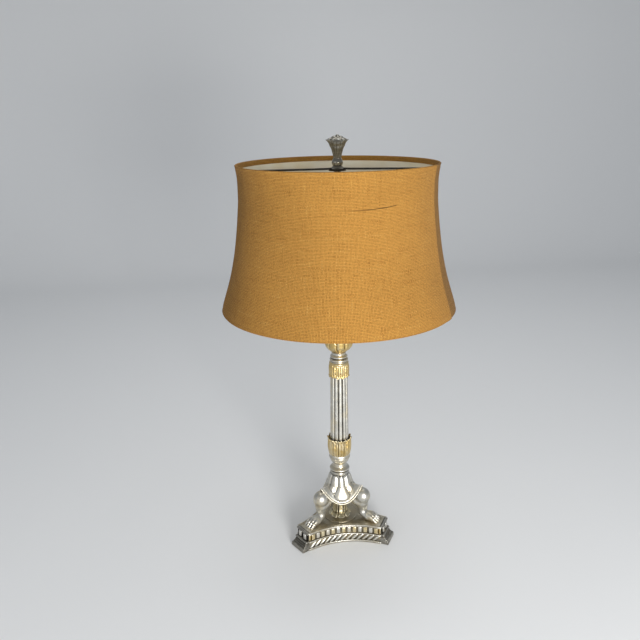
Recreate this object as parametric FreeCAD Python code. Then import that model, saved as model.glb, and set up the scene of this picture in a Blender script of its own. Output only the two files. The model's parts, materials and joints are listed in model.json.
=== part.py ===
import FreeCAD, Part
import math
import os

from FreeCAD import Vector

# Candlestick lamp. Millimetres, +Z up, origin on the column's axis at the face that it stands on.
# The three corners of the plinth lie at 90, 210 and 330 degrees; the front is -Y.

# ---- clearances ----
seat_gap = 0.1          # between pieces that turn against each other
running_gap = 0.05      # radial, round a shaft that turns or slides
slip_gap = 0.25         # radial, round the fixed lamp pipe and fixed inner pieces
clear_gap = 0.4         # between neighbours on different bodies that aren't a fit

# ---- how finely turned mouldings are rounded ----
arc_step = 36.0         # degrees of an arc to one straight run
fine_arc_step = 22.5

# ---- plinth: a triangle with hollow sides and a block on each corner ----
corners = 3
first_corner = -150.0
plinth_height = 36.0
plinth_side = 45.0      # axis to the middle of a hollow side
plinth_corner = 90.0    # axis to where a corner block starts
corner_half = 20.5      # half width of the body there
block_reach = 104.0     # axis to the outer face of a corner block, at the foot
block_half = 18.5
block_foot = 8.0        # height of the block's lowest tier
block_draw = 6.5        # how far each tier of the block steps back
foot_band = 4.5         # heights of the plinth's courses, from the ground up
rope_band = 12.0
rope_bulge = 1.8
shelf_band = 2.5
dentil_band = 14.0
dentil_recess = 3.0
dentil_stand = 2.0
dentil_width = 6.0
dentil_height = 9.5
dentils_per_side = 13
dentils_per_block = 2
mound_radius = 33.0     # raised round at the middle of the top
mound_top_radius = 21.0
mound_height = 6.0
plinth_wall = 9.0
plinth_roof = 10.0

# ---- inside the plinth ----
felt_thick = 1.6
felt_inset = 2.5
felt_stand = 0.6        # how far the felt stands below the plinth
weight_inset = 0.6
nut_across = 16.0
nut_height = 5.0
washer_radius = 14.0
washer_thick = 1.5
cord_bore = 3.2         # radius of the cord's way through the bushing
cord_height = 11.0      # axis of the cord's way above the ground
cord_side = 30.0        # which side of the plinth it leaves by, in degrees
bushing_radius = 5.0
bushing_flange_radius = 6.8
bushing_flange = 1.6

# ---- lamp pipe ----
pipe_radius = 5.0
pipe_bore = 3.4
pipe_below_nut = 1.5

# ---- foot baluster ----
baluster_ring = 18.4
baluster_waist = 9.4
baluster_top = 11.5
baluster_flare = 15.2
baluster_ring_height = 4.0

# ---- legs ----
leg_knee = 46.5         # axis to the middle of the knee
leg_knee_height = 83.5
knee_depth = 14.0
knee_width = 12.5
shank_height = 68.0     # the shank just below the knee
shank_depth = 13.6
shank_width = 10.6
leg_ankle = 43.8
leg_ankle_height = 58.0
ankle_depth = 10.6
ankle_width = 8.8
thigh_start = 15.0
paw_heel = 38.0
paw_reach = 79.0
paw_width = 22.0
paw_height = 14.0
toes = 4
toe_step = 1.6          # how far each toe stands back from the next one in
leg_bolt_radius = 2.0
leg_bolt_head = 4.0
leg_bolt_head_height = 2.2
leg_bolt_grip = 9.0     # how far a bolt reaches up into the paw

# ---- bell body and apron ----
apron_mid = 36.0        # rim of the apron at the middle of a side
apron_mid_height = leg_knee_height - 6.5
apron_tip = 47.5        # rim over a leg
apron_tip_height = leg_knee_height + 23.5
apron_runs = 12         # straight runs along the rim from tip to tip
body_foot_height = leg_knee_height + 4.5
body_height = 40.0      # from there to its top
body_hang = 8.0         # how far its lobes reach on down under the apron
body_stem = 5.0         # the plain neck under them that stands on the baluster
body_foot = 27.5
body_waist = 24.5
body_shoulder = 19.0
body_neck = 14.0
body_lobes = 9
lobe_depth = 1.9

# ---- column ----
ring_radius = 18.4
ring_flange = 17.2
ring_height = 19.0
ring_throat = 12.0
cup_radius = 18.4
cup_height = 20.0
collar_foot = 18.2
collar_belly = 21.2
collar_height = 36.0
collar_floor = 8.0
collar_leaves = 12
collar_wall = 2.0
collar_sides = 24
collar_tip = 8.0        # how far the leaves stand above the collar's wall
leaf_flare = 2.0
leaf_thick = 1.4
shaft_length = 173.0
shaft_foot = 17.2
shaft_head = 15.3
flutes = 12
flute_depth = 2.3
upper_collar_height = 28.0
upper_collar_roof = 4.0
upper_collar_radius = 17.6
upper_collar_tip = 7.0
capital_groove = 14.6
capital_ring = 16.8
capital_bead = 15.8
capital_neck = 13.4
capital_height = 19.0
candle_cup_foot = 13.6
candle_cup_rim = 26.5
candle_cup_height = 26.0
candle_cup_floor = 6.0
candle_cup_wall = 2.2
candle_cup_petals = 12
petal_depth = 1.3

# ---- cup cover, check ring, saddle ----
cover_rise = 6.0
check_radius = 10.5
check_height = 4.0
saddle_thick = 1.5
saddle_width = 13.0
locknut_height = 3.0

# ---- socket ----
socket_radius = 16.8
socket_wall = 0.7
socket_cap_height = 16.0
socket_shell_height = 46.0
liner_wall = 0.9
core_height = 13.0
screw_shell_radius = 13.6
screw_shell_wall = 0.4
screw_shell_height = 24.0
contact_radius = 2.6
contact_height = 2.3
knob_height_in_shell = 14.0
knob_radius = 7.0
knob_length = 15.0
knob_stem_radius = 2.0

# ---- bulb ----
bulb_radius = 30.0
bulb_cap_radius = 13.1
bulb_cap_height = 23.0
bulb_cap_taper = 4.5
bulb_button_radius = 4.4
bulb_button_height = 1.8
bulb_glass_height = 86.0
bulb_neck_radius = 12.6
bulb_wall = 0.8

# ---- harp ----
wire_radius = 2.0
harp_half_foot = 25.0
harp_half_width = 62.0
harp_height = 264.0
harp_top_half = 15.0
harp_foot_straight = 34.0
ear_height = 12.0
sleeve_radius = 4.3
sleeve_length = 18.0
stud_radius = 3.15
stud_collar_radius = 6.5
stud_collar_height = 5.0
stud_length = 15.0
stud_groove = 20.0      # length of the cut that seats the stud's collar on the wire

# ---- shade ----
shade_turn = -7.4       # where its spider and seam stand, about the axis
shade_height = 245.0
shade_drop = 13.0       # top rim above the hub's seat
shade_top = 170.5
shade_waist = 165.8
shade_middle = 171.5
shade_flare = 186.5
shade_bottom = 203.0
shade_wall = 1.6
shade_runs = 9          # straight runs down the shade's side
lining_wall = 0.6
lining_gap = 0.1
ring_drop = 4.5         # how far the hoops lie inside the shade's two ends
hoop_height = 4.0
hoop_thick = 1.8
hoop_gap = 0.15
hub_radius = 14.5
hub_thick = 2.0
arm_radius = 1.7
arm_level = 12.0        # length of an arm that lies level on the hub before it climbs to the ring
arm_start = 90.0        # azimuth of the first arm, before the shade's own turn

# ---- finial ----
finial_base_radius = 11.6
finial_base_height = 7.5
finial_ball_radius = 10.0
finial_waist = 5.6
finial_rim = 19.3
finial_trumpet_height = 28.0
finial_flutes = 12
finial_bead_radius = 4.4
finial_bead_rise = 3.2
finial_bore_depth = 13.0

# ---- heights up the stack, each from the piece below ----
felt_top = felt_thick
plinth_foot = felt_stand
mound_top = plinth_height + mound_height
baluster_top_height = body_foot_height - body_hang - body_stem
baluster_height = baluster_top_height - mound_top
body_top_height = body_foot_height + body_height
ring_foot_height = body_top_height
cup_foot_height = ring_foot_height + ring_height
collar_foot_height = cup_foot_height + cup_height
shaft_foot_height = collar_foot_height + collar_floor
shaft_head_height = shaft_foot_height + shaft_length
upper_collar_top = shaft_head_height + upper_collar_roof
upper_collar_foot = upper_collar_top - upper_collar_height
capital_top = upper_collar_top + capital_height
candle_cup_top = capital_top + candle_cup_height
cover_top = candle_cup_top + cover_rise
check_top = cover_top + check_height
saddle_top = check_top + saddle_thick
locknut_top = saddle_top + locknut_height
socket_cap_top = saddle_top + socket_cap_height
socket_shell_top = socket_cap_top + socket_shell_height
pipe_top = locknut_top + 2.0
ear_top = saddle_top + ear_height
harp_top = ear_top + harp_height
stud_foot = harp_top
hub_seat = stud_foot + stud_collar_height
shade_rim_height = hub_seat + shade_drop
shade_foot_height = shade_rim_height - shade_height
finial_foot = hub_seat + hub_thick + 2 * seat_gap

axis_z = Vector(0, 0, 1)
origin = Vector(0, 0, 0)


# ---- helpers ----
def point(radius, height, azimuth=0.0):
    turn = math.radians(azimuth)
    return Vector(radius * math.cos(turn), radius * math.sin(turn), height)


def chords(start, middle, end, step):
    """The arc through three (radius, height) points in even straight runs, without its start."""
    arc = Part.Arc(point(*start), point(*middle), point(*end))
    sweep = math.degrees(arc.LastParameter - arc.FirstParameter)
    runs = max(2, round(sweep / step))
    span = (arc.LastParameter - arc.FirstParameter) / runs
    return [arc.value(arc.FirstParameter + span * (i + 1)) for i in range(runs)]


def outline(start, *steps, arc=arc_step):
    """A closed outline in the XZ plane. A step is a point, or (middle, end) for an arc."""
    points = [point(*start)]
    here = start
    for step in steps:
        if isinstance(step[0], tuple):
            middle, end = step
            points += chords(here, middle, end, arc)
        else:
            end = step
            points.append(point(*end))
        here = end
    return Part.makePolygon(points + points[:1])


def turned(start, *steps, arc=arc_step):
    """A solid of revolution about Z from an outline of (radius, height) points and arcs."""
    return Part.Face(outline(start, *steps, arc=arc)).revolve(origin, axis_z, 360)


def rod(radius, foot, top):
    return Part.makeCylinder(radius, top - foot, Vector(0, 0, foot))


def tube(outer, inner, foot, top):
    return rod(outer, foot, top).cut(rod(inner, foot - 1, top + 1))


def spun(shape, azimuth):
    copy = shape.copy()
    copy.rotate(origin, axis_z, azimuth)
    return copy


def ring_of(shape, count, start=0.0):
    return [spun(shape, start + 360.0 * i / count) for i in range(count)]


def oval(centre, lean, half_width, half_depth, sides=12):
    """A many-sided oval section square to a direction in the XZ plane: lean 0 is straight out, 90 straight down."""
    turn = math.radians(lean)
    across = Vector(math.sin(turn), 0, math.cos(turn))
    points = []
    for i in range(sides + 1):
        t = 2 * math.pi * i / sides
        points.append(centre + Vector(0, half_width * math.cos(t), 0) + across * (half_depth * math.sin(t)))
    return Part.makePolygon(points)


def lobed_wire(height, radius, depth, count, runs=4):
    """A closed wire of count round lobes that stand out by depth from radius, each in a few straight runs."""
    points = []
    for i in range(count * runs):
        swell = math.sin(math.pi * (i % runs) / runs)
        points.append(point(radius + depth * swell, height, 360.0 * i / (count * runs)))
    return Part.makePolygon(points + points[:1])


def ring_points(height, radius, sides, start=0.0):
    return [point(radius, height, start + 360.0 * i / sides) for i in range(sides)]


def facets(rings):
    """Flat three-cornered faces from each ring of points to the next."""
    faces = []
    for low, high in zip(rings, rings[1:]):
        for i in range(len(low)):
            j = (i + 1) % len(low)
            for a, b, c in ((low[i], low[j], high[i]), (low[j], high[j], high[i])):
                faces.append(Part.Face(Part.makePolygon([a, b, c, a])))
    return faces


def faceted(rings):
    """A solid with flat faces from ring to ring, closed at its two level ends."""
    ends = [Part.Face(Part.makePolygon(ring + ring[:1])) for ring in (rings[0], rings[-1])]
    return closed_solid(facets(rings) + ends)


def closed_solid(faces):
    shell = Part.Shell(faces)
    shell.sewShape()
    solid = Part.Solid(shell)
    if solid.Volume < 0:
        solid.reverse()
    return solid


# ---- plinth ----
def plinth_wire(height, inset=0.0, block=None):
    """The plinth's outline at a height. block is the reach of the corner blocks, if they show."""
    side = plinth_side - inset
    corner = plinth_corner - inset
    half = corner_half - inset
    edges = []
    for i in range(corners):
        azimuth = first_corner + 360.0 / corners * i
        out = point(1, 0, azimuth)
        left = point(1, 0, azimuth + 90)
        up = Vector(0, 0, height)
        entry = out * corner - left * half + up
        leave = out * corner + left * half + up
        path = [entry]
        if block:
            narrow = block_half - inset
            path += [out * corner - left * narrow + up, out * block - left * narrow + up,
                     out * block + left * narrow + up, out * corner + left * narrow + up]
        path.append(leave)
        edges += [Part.LineSegment(a, b).toShape() for a, b in zip(path, path[1:])]
        turn = 360.0 / corners
        following = spun(Part.Vertex(entry), turn).Point
        middle = point(side, height, azimuth + turn / 2)
        edges.append(Part.Arc(leave, middle, following).toShape())
    return Part.Wire(edges)


def slab(wire, height):
    return Part.Face(wire).extrude(Vector(0, 0, height))


def block_tier(foot, top, reach_foot, reach_top):
    """One tier of a corner block, drawn in towards its top."""
    wires = []
    for height, reach in ((foot, reach_foot), (top, reach_top)):
        inner = plinth_corner - 15.0
        a = Vector(inner, -block_half, height)
        b = Vector(reach, -block_half, height)
        c = Vector(reach, block_half, height)
        d = Vector(inner, block_half, height)
        wires.append(Part.makePolygon([a, b, c, d, a]))
    return Part.makeLoft(wires, True, True)


def dentil_places():
    """Centre and facing of every dentil: along the hollow sides, then on the corner blocks."""
    places = []
    sagitta_chord = point(plinth_corner, 0, 0) + Vector(0, corner_half, 0)
    turn = 180.0 / corners
    chord_half = abs(spun(Part.Vertex(sagitta_chord), -turn).Point.y)
    chord_out = spun(Part.Vertex(sagitta_chord), -turn).Point.x
    sagitta = chord_out - plinth_side
    radius = (chord_half ** 2 + sagitta ** 2) / (2 * sagitta)
    centre = plinth_side + radius
    sweep = math.degrees(math.asin(chord_half / radius))
    for side in range(corners):
        facing = first_corner + turn + 2 * turn * side
        for i in range(dentils_per_side):
            lean = (i + 0.5) / dentils_per_side * 2 - 1
            angle = lean * sweep * 0.97
            x = centre - (radius + dentil_recess) * math.cos(math.radians(angle))
            y = -(radius + dentil_recess) * math.sin(math.radians(angle))
            places.append((x, y, angle, facing))
    return places


def plinth():
    z1 = foot_band
    z2 = z1 + rope_band
    z3 = z2 + shelf_band
    z4 = z3 + dentil_band
    lower = slab(plinth_wire(plinth_foot), foot_band - plinth_foot)
    rope = Part.makeLoft([plinth_wire(z1, 1.2), plinth_wire(z1 + rope_band / 3, 1.2 - rope_bulge / 2),
                          plinth_wire(z2 - rope_band / 3, 1.2 - rope_bulge / 2), plinth_wire(z2, 1.6)], True, True)
    shelf = slab(plinth_wire(z2, 0.6), shelf_band)
    frieze = slab(plinth_wire(z3, dentil_recess), dentil_band)
    lid = slab(plinth_wire(z4, 1.4), plinth_height - z4)
    body = lower.multiFuse([rope, shelf, frieze, lid])

    step1 = block_reach - block_draw
    step2 = step1 - block_draw * 0.7
    tiers = [block_tier(plinth_foot, block_foot, block_reach, block_reach - 1.0),
             block_tier(block_foot, z3, step1, step2),
             block_tier(z3, z4, step2 - dentil_recess, step2 - dentil_recess),
             block_tier(z4, plinth_height, step2 - 1.4, step2 - 1.4)]
    blocks = []
    for tier in tiers:
        blocks += ring_of(tier, corners, first_corner)
    body = body.multiFuse(blocks)

    tooth_foot = z3 + (dentil_band - dentil_height) / 2
    teeth = []
    for x, y, angle, facing in dentil_places():
        tooth = Part.makeBox(dentil_stand + 2, dentil_width, dentil_height,
                             Vector(-2, -dentil_width / 2, tooth_foot))
        tooth.rotate(origin, axis_z, angle)
        tooth.translate(Vector(x, y, 0))
        teeth.append(spun(tooth, facing))
    face = step2 - dentil_recess
    for i in range(dentils_per_block):
        shift = (i - (dentils_per_block - 1) / 2) * dentil_width * 2.2
        tooth = Part.makeBox(dentil_stand + 2, dentil_width * 1.3, dentil_height,
                             Vector(face - 2, shift - dentil_width * 0.65, tooth_foot))
        teeth += ring_of(tooth, corners, first_corner)
    body = body.multiFuse(teeth)

    mound = turned((0, plinth_height - 1), (mound_radius, plinth_height - 1), (mound_radius, plinth_height + 1),
                   ((mound_radius * 0.72, plinth_height + 2.2), (mound_top_radius, mound_top)), (0, mound_top))
    body = body.fuse(mound)

    pocket = slab(plinth_wire(plinth_foot, plinth_wall), plinth_height - plinth_roof - plinth_foot)
    body = body.cut(pocket)
    rebate = slab(plinth_wire(plinth_foot, felt_inset), felt_top - plinth_foot)
    body = body.cut(rebate)
    body = body.cut(rod(pipe_radius + slip_gap, 0, mound_top + 1))
    hole = along_side(Part.makeCylinder(bushing_radius, plinth_side * 2, origin, Vector(1, 0, 0)))
    body = body.cut(hole)
    for bolt in leg_bolt_shapes(leg_bolt_radius + slip_gap / 2, leg_bolt_head + slip_gap):
        body = body.cut(bolt)
    return body.removeSplitter()


def along_side(shape):
    """Stands a shape made along +X from the axis at the cord's height and side."""
    copy = shape.copy()
    copy.translate(Vector(0, 0, cord_height))
    return spun(copy, cord_side)


pocket_roof = plinth_height - plinth_roof


def base_felt():
    return slab(plinth_wire(0.0, felt_inset + 0.2), felt_top)


def base_weight():
    low = felt_top
    body = slab(plinth_wire(low, plinth_wall + weight_inset), pocket_roof - low)
    well = rod(washer_radius + 2, low - 1, low + nut_height + pipe_below_nut + washer_thick + 1.0)
    body = body.cut(well).cut(rod(pipe_radius + slip_gap, low, pocket_roof + 1))
    channel = along_side(Part.makeCylinder(bushing_flange_radius + 1, plinth_side, origin, Vector(1, 0, 0)))
    floor_cut = along_side(Part.makeBox(plinth_side, 2 * bushing_flange_radius + 2, cord_height,
                                        Vector(0, -bushing_flange_radius - 1, -cord_height)))
    body = body.cut(channel).cut(floor_cut)
    for bolt in leg_bolt_shapes(leg_bolt_radius, leg_bolt_head + 1.0):
        body = body.cut(bolt)
    return body.removeSplitter()


well_roof = felt_top + nut_height + pipe_below_nut + washer_thick + 1.0


def base_washer():
    return tube(washer_radius, pipe_radius + slip_gap, well_roof - washer_thick, well_roof)


def base_nut():
    top = well_roof - washer_thick
    corners_at = [point(nut_across / 2 / math.cos(math.pi / 6), top - nut_height, 60 * i) for i in range(7)]
    nut = Part.Face(Part.makePolygon(corners_at)).extrude(Vector(0, 0, nut_height))
    return nut.cut(rod(pipe_radius, 0, top + 1))


def cord_bushing():
    inner = plinth_side - plinth_wall
    outer = plinth_side + bushing_flange
    barrel = Part.makeCylinder(bushing_radius, outer - inner, Vector(inner, 0, 0), Vector(1, 0, 0))
    flange = Part.makeCylinder(bushing_flange_radius, bushing_flange, Vector(plinth_side, 0, 0), Vector(1, 0, 0))
    bore = Part.makeCylinder(cord_bore, outer - inner + 2, Vector(inner - 1, 0, 0), Vector(1, 0, 0))
    return along_side(barrel.fuse(flange).cut(bore))


def lamp_pipe():
    return tube(pipe_radius, pipe_bore, well_roof - washer_thick - nut_height - pipe_below_nut, pipe_top)


# ---- legs ----
def paw():
    """The paw along +X, standing on the plinth's top: the back of the foot, then its toes."""
    floor = plinth_height
    length = paw_reach - paw_heel
    half = paw_width / 2

    def across(x, width, height, sides=12):
        return oval(Vector(x, 0, floor + height / 2), 0, width, height / 2, sides)

    back = Part.makeLoft([across(paw_heel, half * 0.50, paw_height * 0.80),
                          across(paw_heel + length * 0.25, half * 0.80, paw_height * 1.17),
                          across(paw_heel + length * 0.72, half, paw_height * 0.86)], True, False)
    pieces = []
    pitch = paw_width / toes
    for i in range(toes):
        place = i - (toes - 1) / 2
        tip = paw_reach - abs(place) * toe_step
        toe = Part.makeLoft([across(paw_heel + length * 0.55, pitch * 0.50, paw_height * 0.78, 8),
                             across(tip - 7.0, pitch * 0.56, paw_height * 0.90, 8),
                             across(tip - 2.4, pitch * 0.50, paw_height * 0.74, 8),
                             across(tip, pitch * 0.28, paw_height * 0.42, 8)], True, True)
        toe.translate(Vector(0, place * pitch, 0))
        pieces.append(toe)
    return back.multiFuse(pieces)


def leg():
    """One leg along +X: a thigh from under the body that ends in the knee, a shin and a paw."""
    def thigh_section(x, drop, share):
        return oval(Vector(x, 0, leg_knee_height - drop), 0, knee_width * share, knee_depth * share)

    def shin_section(x, z, width, depth):
        return oval(Vector(x, 0, z), 90, width, depth)

    thigh = Part.makeLoft([thigh_section(thigh_start, 3.0, 0.75), thigh_section((thigh_start + leg_knee) / 2, 1.0, 0.93),
                           thigh_section(leg_knee - 0.5, 0.0, 0.98), thigh_section(leg_knee + 7.5, 0.3, 0.76),
                           thigh_section(leg_knee + 12.0, 1.0, 0.33)], True, False)
    paw_top = plinth_height + paw_height * 0.8
    shin = Part.makeLoft([shin_section(leg_knee - 2.0, leg_knee_height - 1.0, knee_width * 0.90, knee_depth * 0.86),
                          shin_section(leg_ankle - 0.6, shank_height, shank_width, shank_depth),
                          shin_section(leg_ankle, leg_ankle_height, ankle_width, ankle_depth),
                          shin_section(leg_ankle + 2.0, paw_top, ankle_width * 1.06, ankle_depth * 1.02),
                          shin_section(leg_ankle + 5.0, plinth_height + 1.0, ankle_width * 1.1, ankle_depth * 1.1)],
                         True, False)
    whole = thigh.multiFuse([shin, paw()])
    bolt = Part.makeCylinder(leg_bolt_radius, leg_bolt_grip, Vector(leg_bolt_place, 0, plinth_height))
    return whole.cut(bolt)


leg_bolt_place = (paw_heel + paw_reach) / 2 - 4.0


def seated_leg():
    """The leg with its thigh let in under the body and the apron."""
    turn = spun(leg(), first_corner)
    turn = turn.cut(bell_body()).cut(apron())
    biggest = max(turn.Solids, key=lambda solid: solid.Volume)
    return spun(biggest, -first_corner)


def leg_bolt_shapes(radius, head):
    low = pocket_roof - leg_bolt_head_height
    shaft = Part.makeCylinder(radius, plinth_height - low + leg_bolt_grip, Vector(leg_bolt_place, 0, low))
    cap = Part.makeCylinder(head, leg_bolt_head_height, Vector(leg_bolt_place, 0, low))
    return ring_of(shaft.fuse(cap), corners, first_corner)


def foot_baluster():
    foot = mound_top
    ring = foot + baluster_ring_height
    waist = foot + baluster_height * 0.62
    top = baluster_top_height
    body = turned((pipe_radius + slip_gap, foot), (baluster_ring - 1.5, foot),
                  ((baluster_ring, foot + baluster_ring_height / 2), (baluster_ring - 1.5, ring)),
                  (baluster_flare, ring + 0.6),
                  ((baluster_waist + 1.6, foot + baluster_height * 0.34), (baluster_waist, waist)),
                  ((baluster_waist + 0.4, top - 5), (baluster_top, top)),
                  (pipe_radius + slip_gap, top))
    return body


# ---- apron and bell body ----
def apron_rim(azimuth_from_side, lift=0.0):
    """Radius and height of the apron's rim at an angle from the middle of a side."""
    share = abs(azimuth_from_side) / (180.0 / corners)
    radius = apron_mid + (apron_tip - apron_mid) * share ** 2.2
    height = apron_mid_height + (apron_tip_height - apron_mid_height) * share ** 2
    return radius, height + lift


def apron_level(t, hollow):
    """A ring of points round the apron: t is 0 at the body and 1 at the rim."""
    points = []
    half = 180.0 / corners
    inner_radius = body_foot - 3.0 - hollow
    inner_height = body_foot_height + 16.0 - hollow * 1.6
    fall = t * (0.65 + 0.35 * t * (3 - 2 * t))
    for side in range(corners):
        facing = first_corner + half + 2 * half * side
        for i in range(apron_runs):
            angle = -half + 2 * half * i / apron_runs
            rim_radius, rim_height = apron_rim(angle)
            radius = inner_radius + (rim_radius - inner_radius) * t ** 1.5
            height = inner_height + (rim_height - inner_height) * fall
            points.append(point(radius, height, facing + angle))
    return points


def apron():
    levels = [(0.0, 0.0), (0.35, 0.0), (0.6, 0.0), (0.82, 0.0), (1.0, 0.0),
              (0.82, 2.0), (0.6, 3.0), (0.35, 3.5), (0.0, 4.0), (0.0, 0.0)]
    rings = [apron_level(t, hollow) for t, hollow in levels]
    return closed_solid(facets(rings)).cut(bell_body())


def body_levels():
    """Radius and height of the lobes' crowns, from under the apron to the shoulder."""
    foot = body_foot_height
    top = body_top_height
    return [(body_foot + 1.0, foot - body_hang), (body_foot, foot), (body_waist, foot + body_height * 0.34),
            (body_shoulder + 2.8, foot + body_height * 0.64), (body_shoulder, top - 5.0)]


def bell_body():
    bore = pipe_radius + slip_gap
    low = baluster_top_height
    shoulder_foot = body_top_height - 6.0
    wires = []
    for r, z in body_levels():
        depth = lobe_depth if z < shoulder_foot else lobe_depth * 0.55
        wires.append(lobed_wire(z, r - lobe_depth, depth, body_lobes))
    bell = spun(Part.makeLoft(wires, True, True), 90.0 + 180.0 / body_lobes)
    shoulder_r = body_shoulder - lobe_depth * 0.6
    shoulder = turned((bore, shoulder_foot), (shoulder_r, shoulder_foot),
                      ((shoulder_r - 0.8, body_top_height - 3), (body_neck, body_top_height)), (bore, body_top_height))
    stem_top = body_foot_height - body_hang + 0.5
    stem = turned((bore, low), (baluster_top + 1.5, low), (baluster_top + 1.5, stem_top), (bore, stem_top))
    whole = bell.multiFuse([shoulder, stem])
    return whole.cut(rod(bore, 0, body_top_height + 1)).removeSplitter()


# ---- column ----
def body_ring():
    """A flat flange on the bell, a groove and a round torus that narrows to the cup's throat."""
    bore = pipe_radius + slip_gap
    z0 = ring_foot_height
    z1 = z0 + ring_height * 0.32
    z2 = z1 + 2.0
    top = z0 + ring_height
    z3 = top - 1.5
    return turned((bore, z0), (body_neck + 1.0, z0), ((ring_flange, (z0 + z1) / 2), (ring_flange - 1.4, z1)),
                  (body_neck + 0.8, z1 + 0.4), (body_neck + 0.8, z2),
                  ((ring_radius, (z2 + z3) / 2), (ring_throat + 1.6, z3)), (ring_throat, top), (bore, top))


def lower_cup():
    bore = pipe_radius + slip_gap
    z0 = cup_foot_height
    top = collar_foot_height
    return turned((bore, z0), (ring_throat, z0), ((cup_radius - 2.0, z0 + cup_height * 0.42),
                                                  (cup_radius - 0.4, top - 3.0)),
                  (cup_radius, top - 2.6), (cup_radius, top - 0.6), (cup_radius - 0.6, top), (bore, top))


def leaf(height, width, reach, thick, tip_out):
    """A ribbed leaf standing on its root at the origin, facing +X, with a pointed tip that turns outwards."""
    def section(share, wide, out):
        z = height * share
        return [Vector(out, -wide, z), Vector(out + thick, 0, z), Vector(out, wide, z), Vector(out - thick, 0, z)]

    return faceted([section(0.0, width * 0.72, 0.0), section(0.45, width, reach), section(0.78, width * 0.8, reach),
                    section(1.0, width * 0.14, reach + tip_out)])


def lower_leaf_collar():
    bore = pipe_radius + slip_gap
    z0 = collar_foot_height
    top = z0 + collar_height
    wall_top = top - collar_tip
    seat = shaft_foot_height
    hug = shaft_foot + slip_gap
    half_side = 180.0 / collar_sides
    core = faceted([ring_points(z0, collar_foot, collar_sides, half_side),
                    ring_points(z0 + collar_height * 0.34, collar_belly - 0.6, collar_sides, half_side),
                    ring_points(wall_top, hug + collar_wall, collar_sides, half_side)])
    width = math.pi * collar_belly / collar_leaves * 0.92
    blade = leaf(collar_height - 1.0, width, collar_belly - collar_foot, leaf_thick, leaf_flare)
    blade.translate(Vector(collar_foot - 0.2, 0, z0 + 1.0))
    leaves = core.multiFuse(ring_of(blade, collar_leaves, 15.0))
    return leaves.cut(rod(hug, seat, top + 2)).cut(rod(bore, z0 - 1, top)).removeSplitter()


def shaft_wire(height, radius, depth):
    """Round ridges with hollow flutes between them."""
    edges = []
    share = 360.0 / flutes
    ridge = share * 0.56
    for i in range(flutes):
        a = i * share
        start = point(radius - depth * 0.25, height, a - ridge / 2)
        end = point(radius - depth * 0.25, height, a + ridge / 2)
        following = point(radius - depth * 0.25, height, a + share - ridge / 2)
        edges.append(Part.Arc(start, point(radius, height, a), end).toShape())
        edges.append(Part.Arc(end, point(radius - depth, height, a + share / 2), following).toShape())
    return Part.Wire(edges)


def fluted_shaft():
    bore = pipe_radius + slip_gap
    shaft = Part.makeLoft([shaft_wire(shaft_foot_height, shaft_foot, flute_depth),
                           shaft_wire(shaft_head_height, shaft_head, flute_depth)], True, True)
    return shaft.cut(rod(bore, 0, shaft_head_height + 1))


def upper_leaf_collar():
    bore = pipe_radius + slip_gap
    top = upper_collar_top
    foot = upper_collar_foot
    wall_foot = foot + upper_collar_tip
    hug = shaft_head + 2 * slip_gap
    half_side = 180.0 / collar_sides
    core = faceted([ring_points(wall_foot, upper_collar_radius - 0.8, collar_sides, half_side),
                    ring_points(top - 2.0, upper_collar_radius + 0.4, collar_sides, half_side),
                    ring_points(top, upper_collar_radius - 1.0, collar_sides, half_side)])
    width = math.pi * upper_collar_radius / collar_leaves * 0.92
    blade = leaf(upper_collar_height - 2.0, width, 0.4, leaf_thick, leaf_flare * 0.7)
    blade.rotate(origin, Vector(1, 0, 0), 180)
    blade.translate(Vector(upper_collar_radius - 0.2, 0, top - 2.0))
    whole = core.multiFuse(ring_of(blade, collar_leaves, 15.0))
    return whole.cut(rod(hug, foot - 2, shaft_head_height)).cut(rod(bore, 0, top + 1)).removeSplitter()


def column_capital():
    """Two round rings over the leaves, and the neck that carries the candle cup."""
    bore = pipe_radius + slip_gap
    z0 = upper_collar_top
    z1 = z0 + capital_height * 0.11
    z2 = z0 + capital_height * 0.42
    z3 = z0 + capital_height * 0.72
    top = capital_top
    return turned((bore, z0), (capital_groove, z0), (capital_groove, z1),
                  ((capital_ring, (z1 + z2) / 2), (capital_groove, z2)),
                  ((capital_bead, (z2 + z3) / 2), (capital_neck, z3)),
                  (capital_neck - 0.6, (z3 + top) / 2), (capital_neck, top), (bore, top))


def candle_cup():
    bore = pipe_radius + slip_gap
    z0 = capital_top
    top = candle_cup_top
    rise = candle_cup_height
    levels = [(candle_cup_foot, z0), (candle_cup_foot + 7.2, z0 + rise * 0.28), (candle_cup_rim - 2.6, z0 + rise * 0.58),
              (candle_cup_rim - 0.8, top - 3.0)]
    wires = [lobed_wire(z, r - petal_depth, petal_depth, candle_cup_petals) for r, z in levels]
    bowl = spun(Part.makeLoft(wires, True, True), 15.0)
    lip = turned((bore, top - 3.2), (candle_cup_rim - 1.2, top - 3.2),
                 ((candle_cup_rim, top - 1.6), (candle_cup_rim - 1.2, top)), (bore, top))
    well = candle_cup_rim - candle_cup_wall - 1.8
    hollow = turned((bore, z0 + candle_cup_floor), (bore + 4.0, z0 + candle_cup_floor),
                    ((well - 4.6, z0 + rise * 0.46), (well, top - 6.0)), (well, top + 1), (bore, top + 1))
    return bowl.fuse(lip).cut(hollow).cut(rod(bore, 0, top + 2)).removeSplitter()


def cup_cover():
    bore = pipe_radius + slip_gap
    edge = candle_cup_rim - 1.4
    z0 = candle_cup_top
    return turned((bore, z0 + 3.0), (edge - 4.0, z0), (edge, z0), (edge, z0 + 1.0),
                  ((edge * 0.62, z0 + 4.2), (check_radius, cover_top)), (bore, cover_top))


def check_ring():
    bore = pipe_radius + slip_gap
    return turned((bore, cover_top), (check_radius - 1.0, cover_top),
                  ((check_radius, (cover_top + check_top) / 2), (check_radius - 1.0, check_top)), (bore, check_top))


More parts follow.
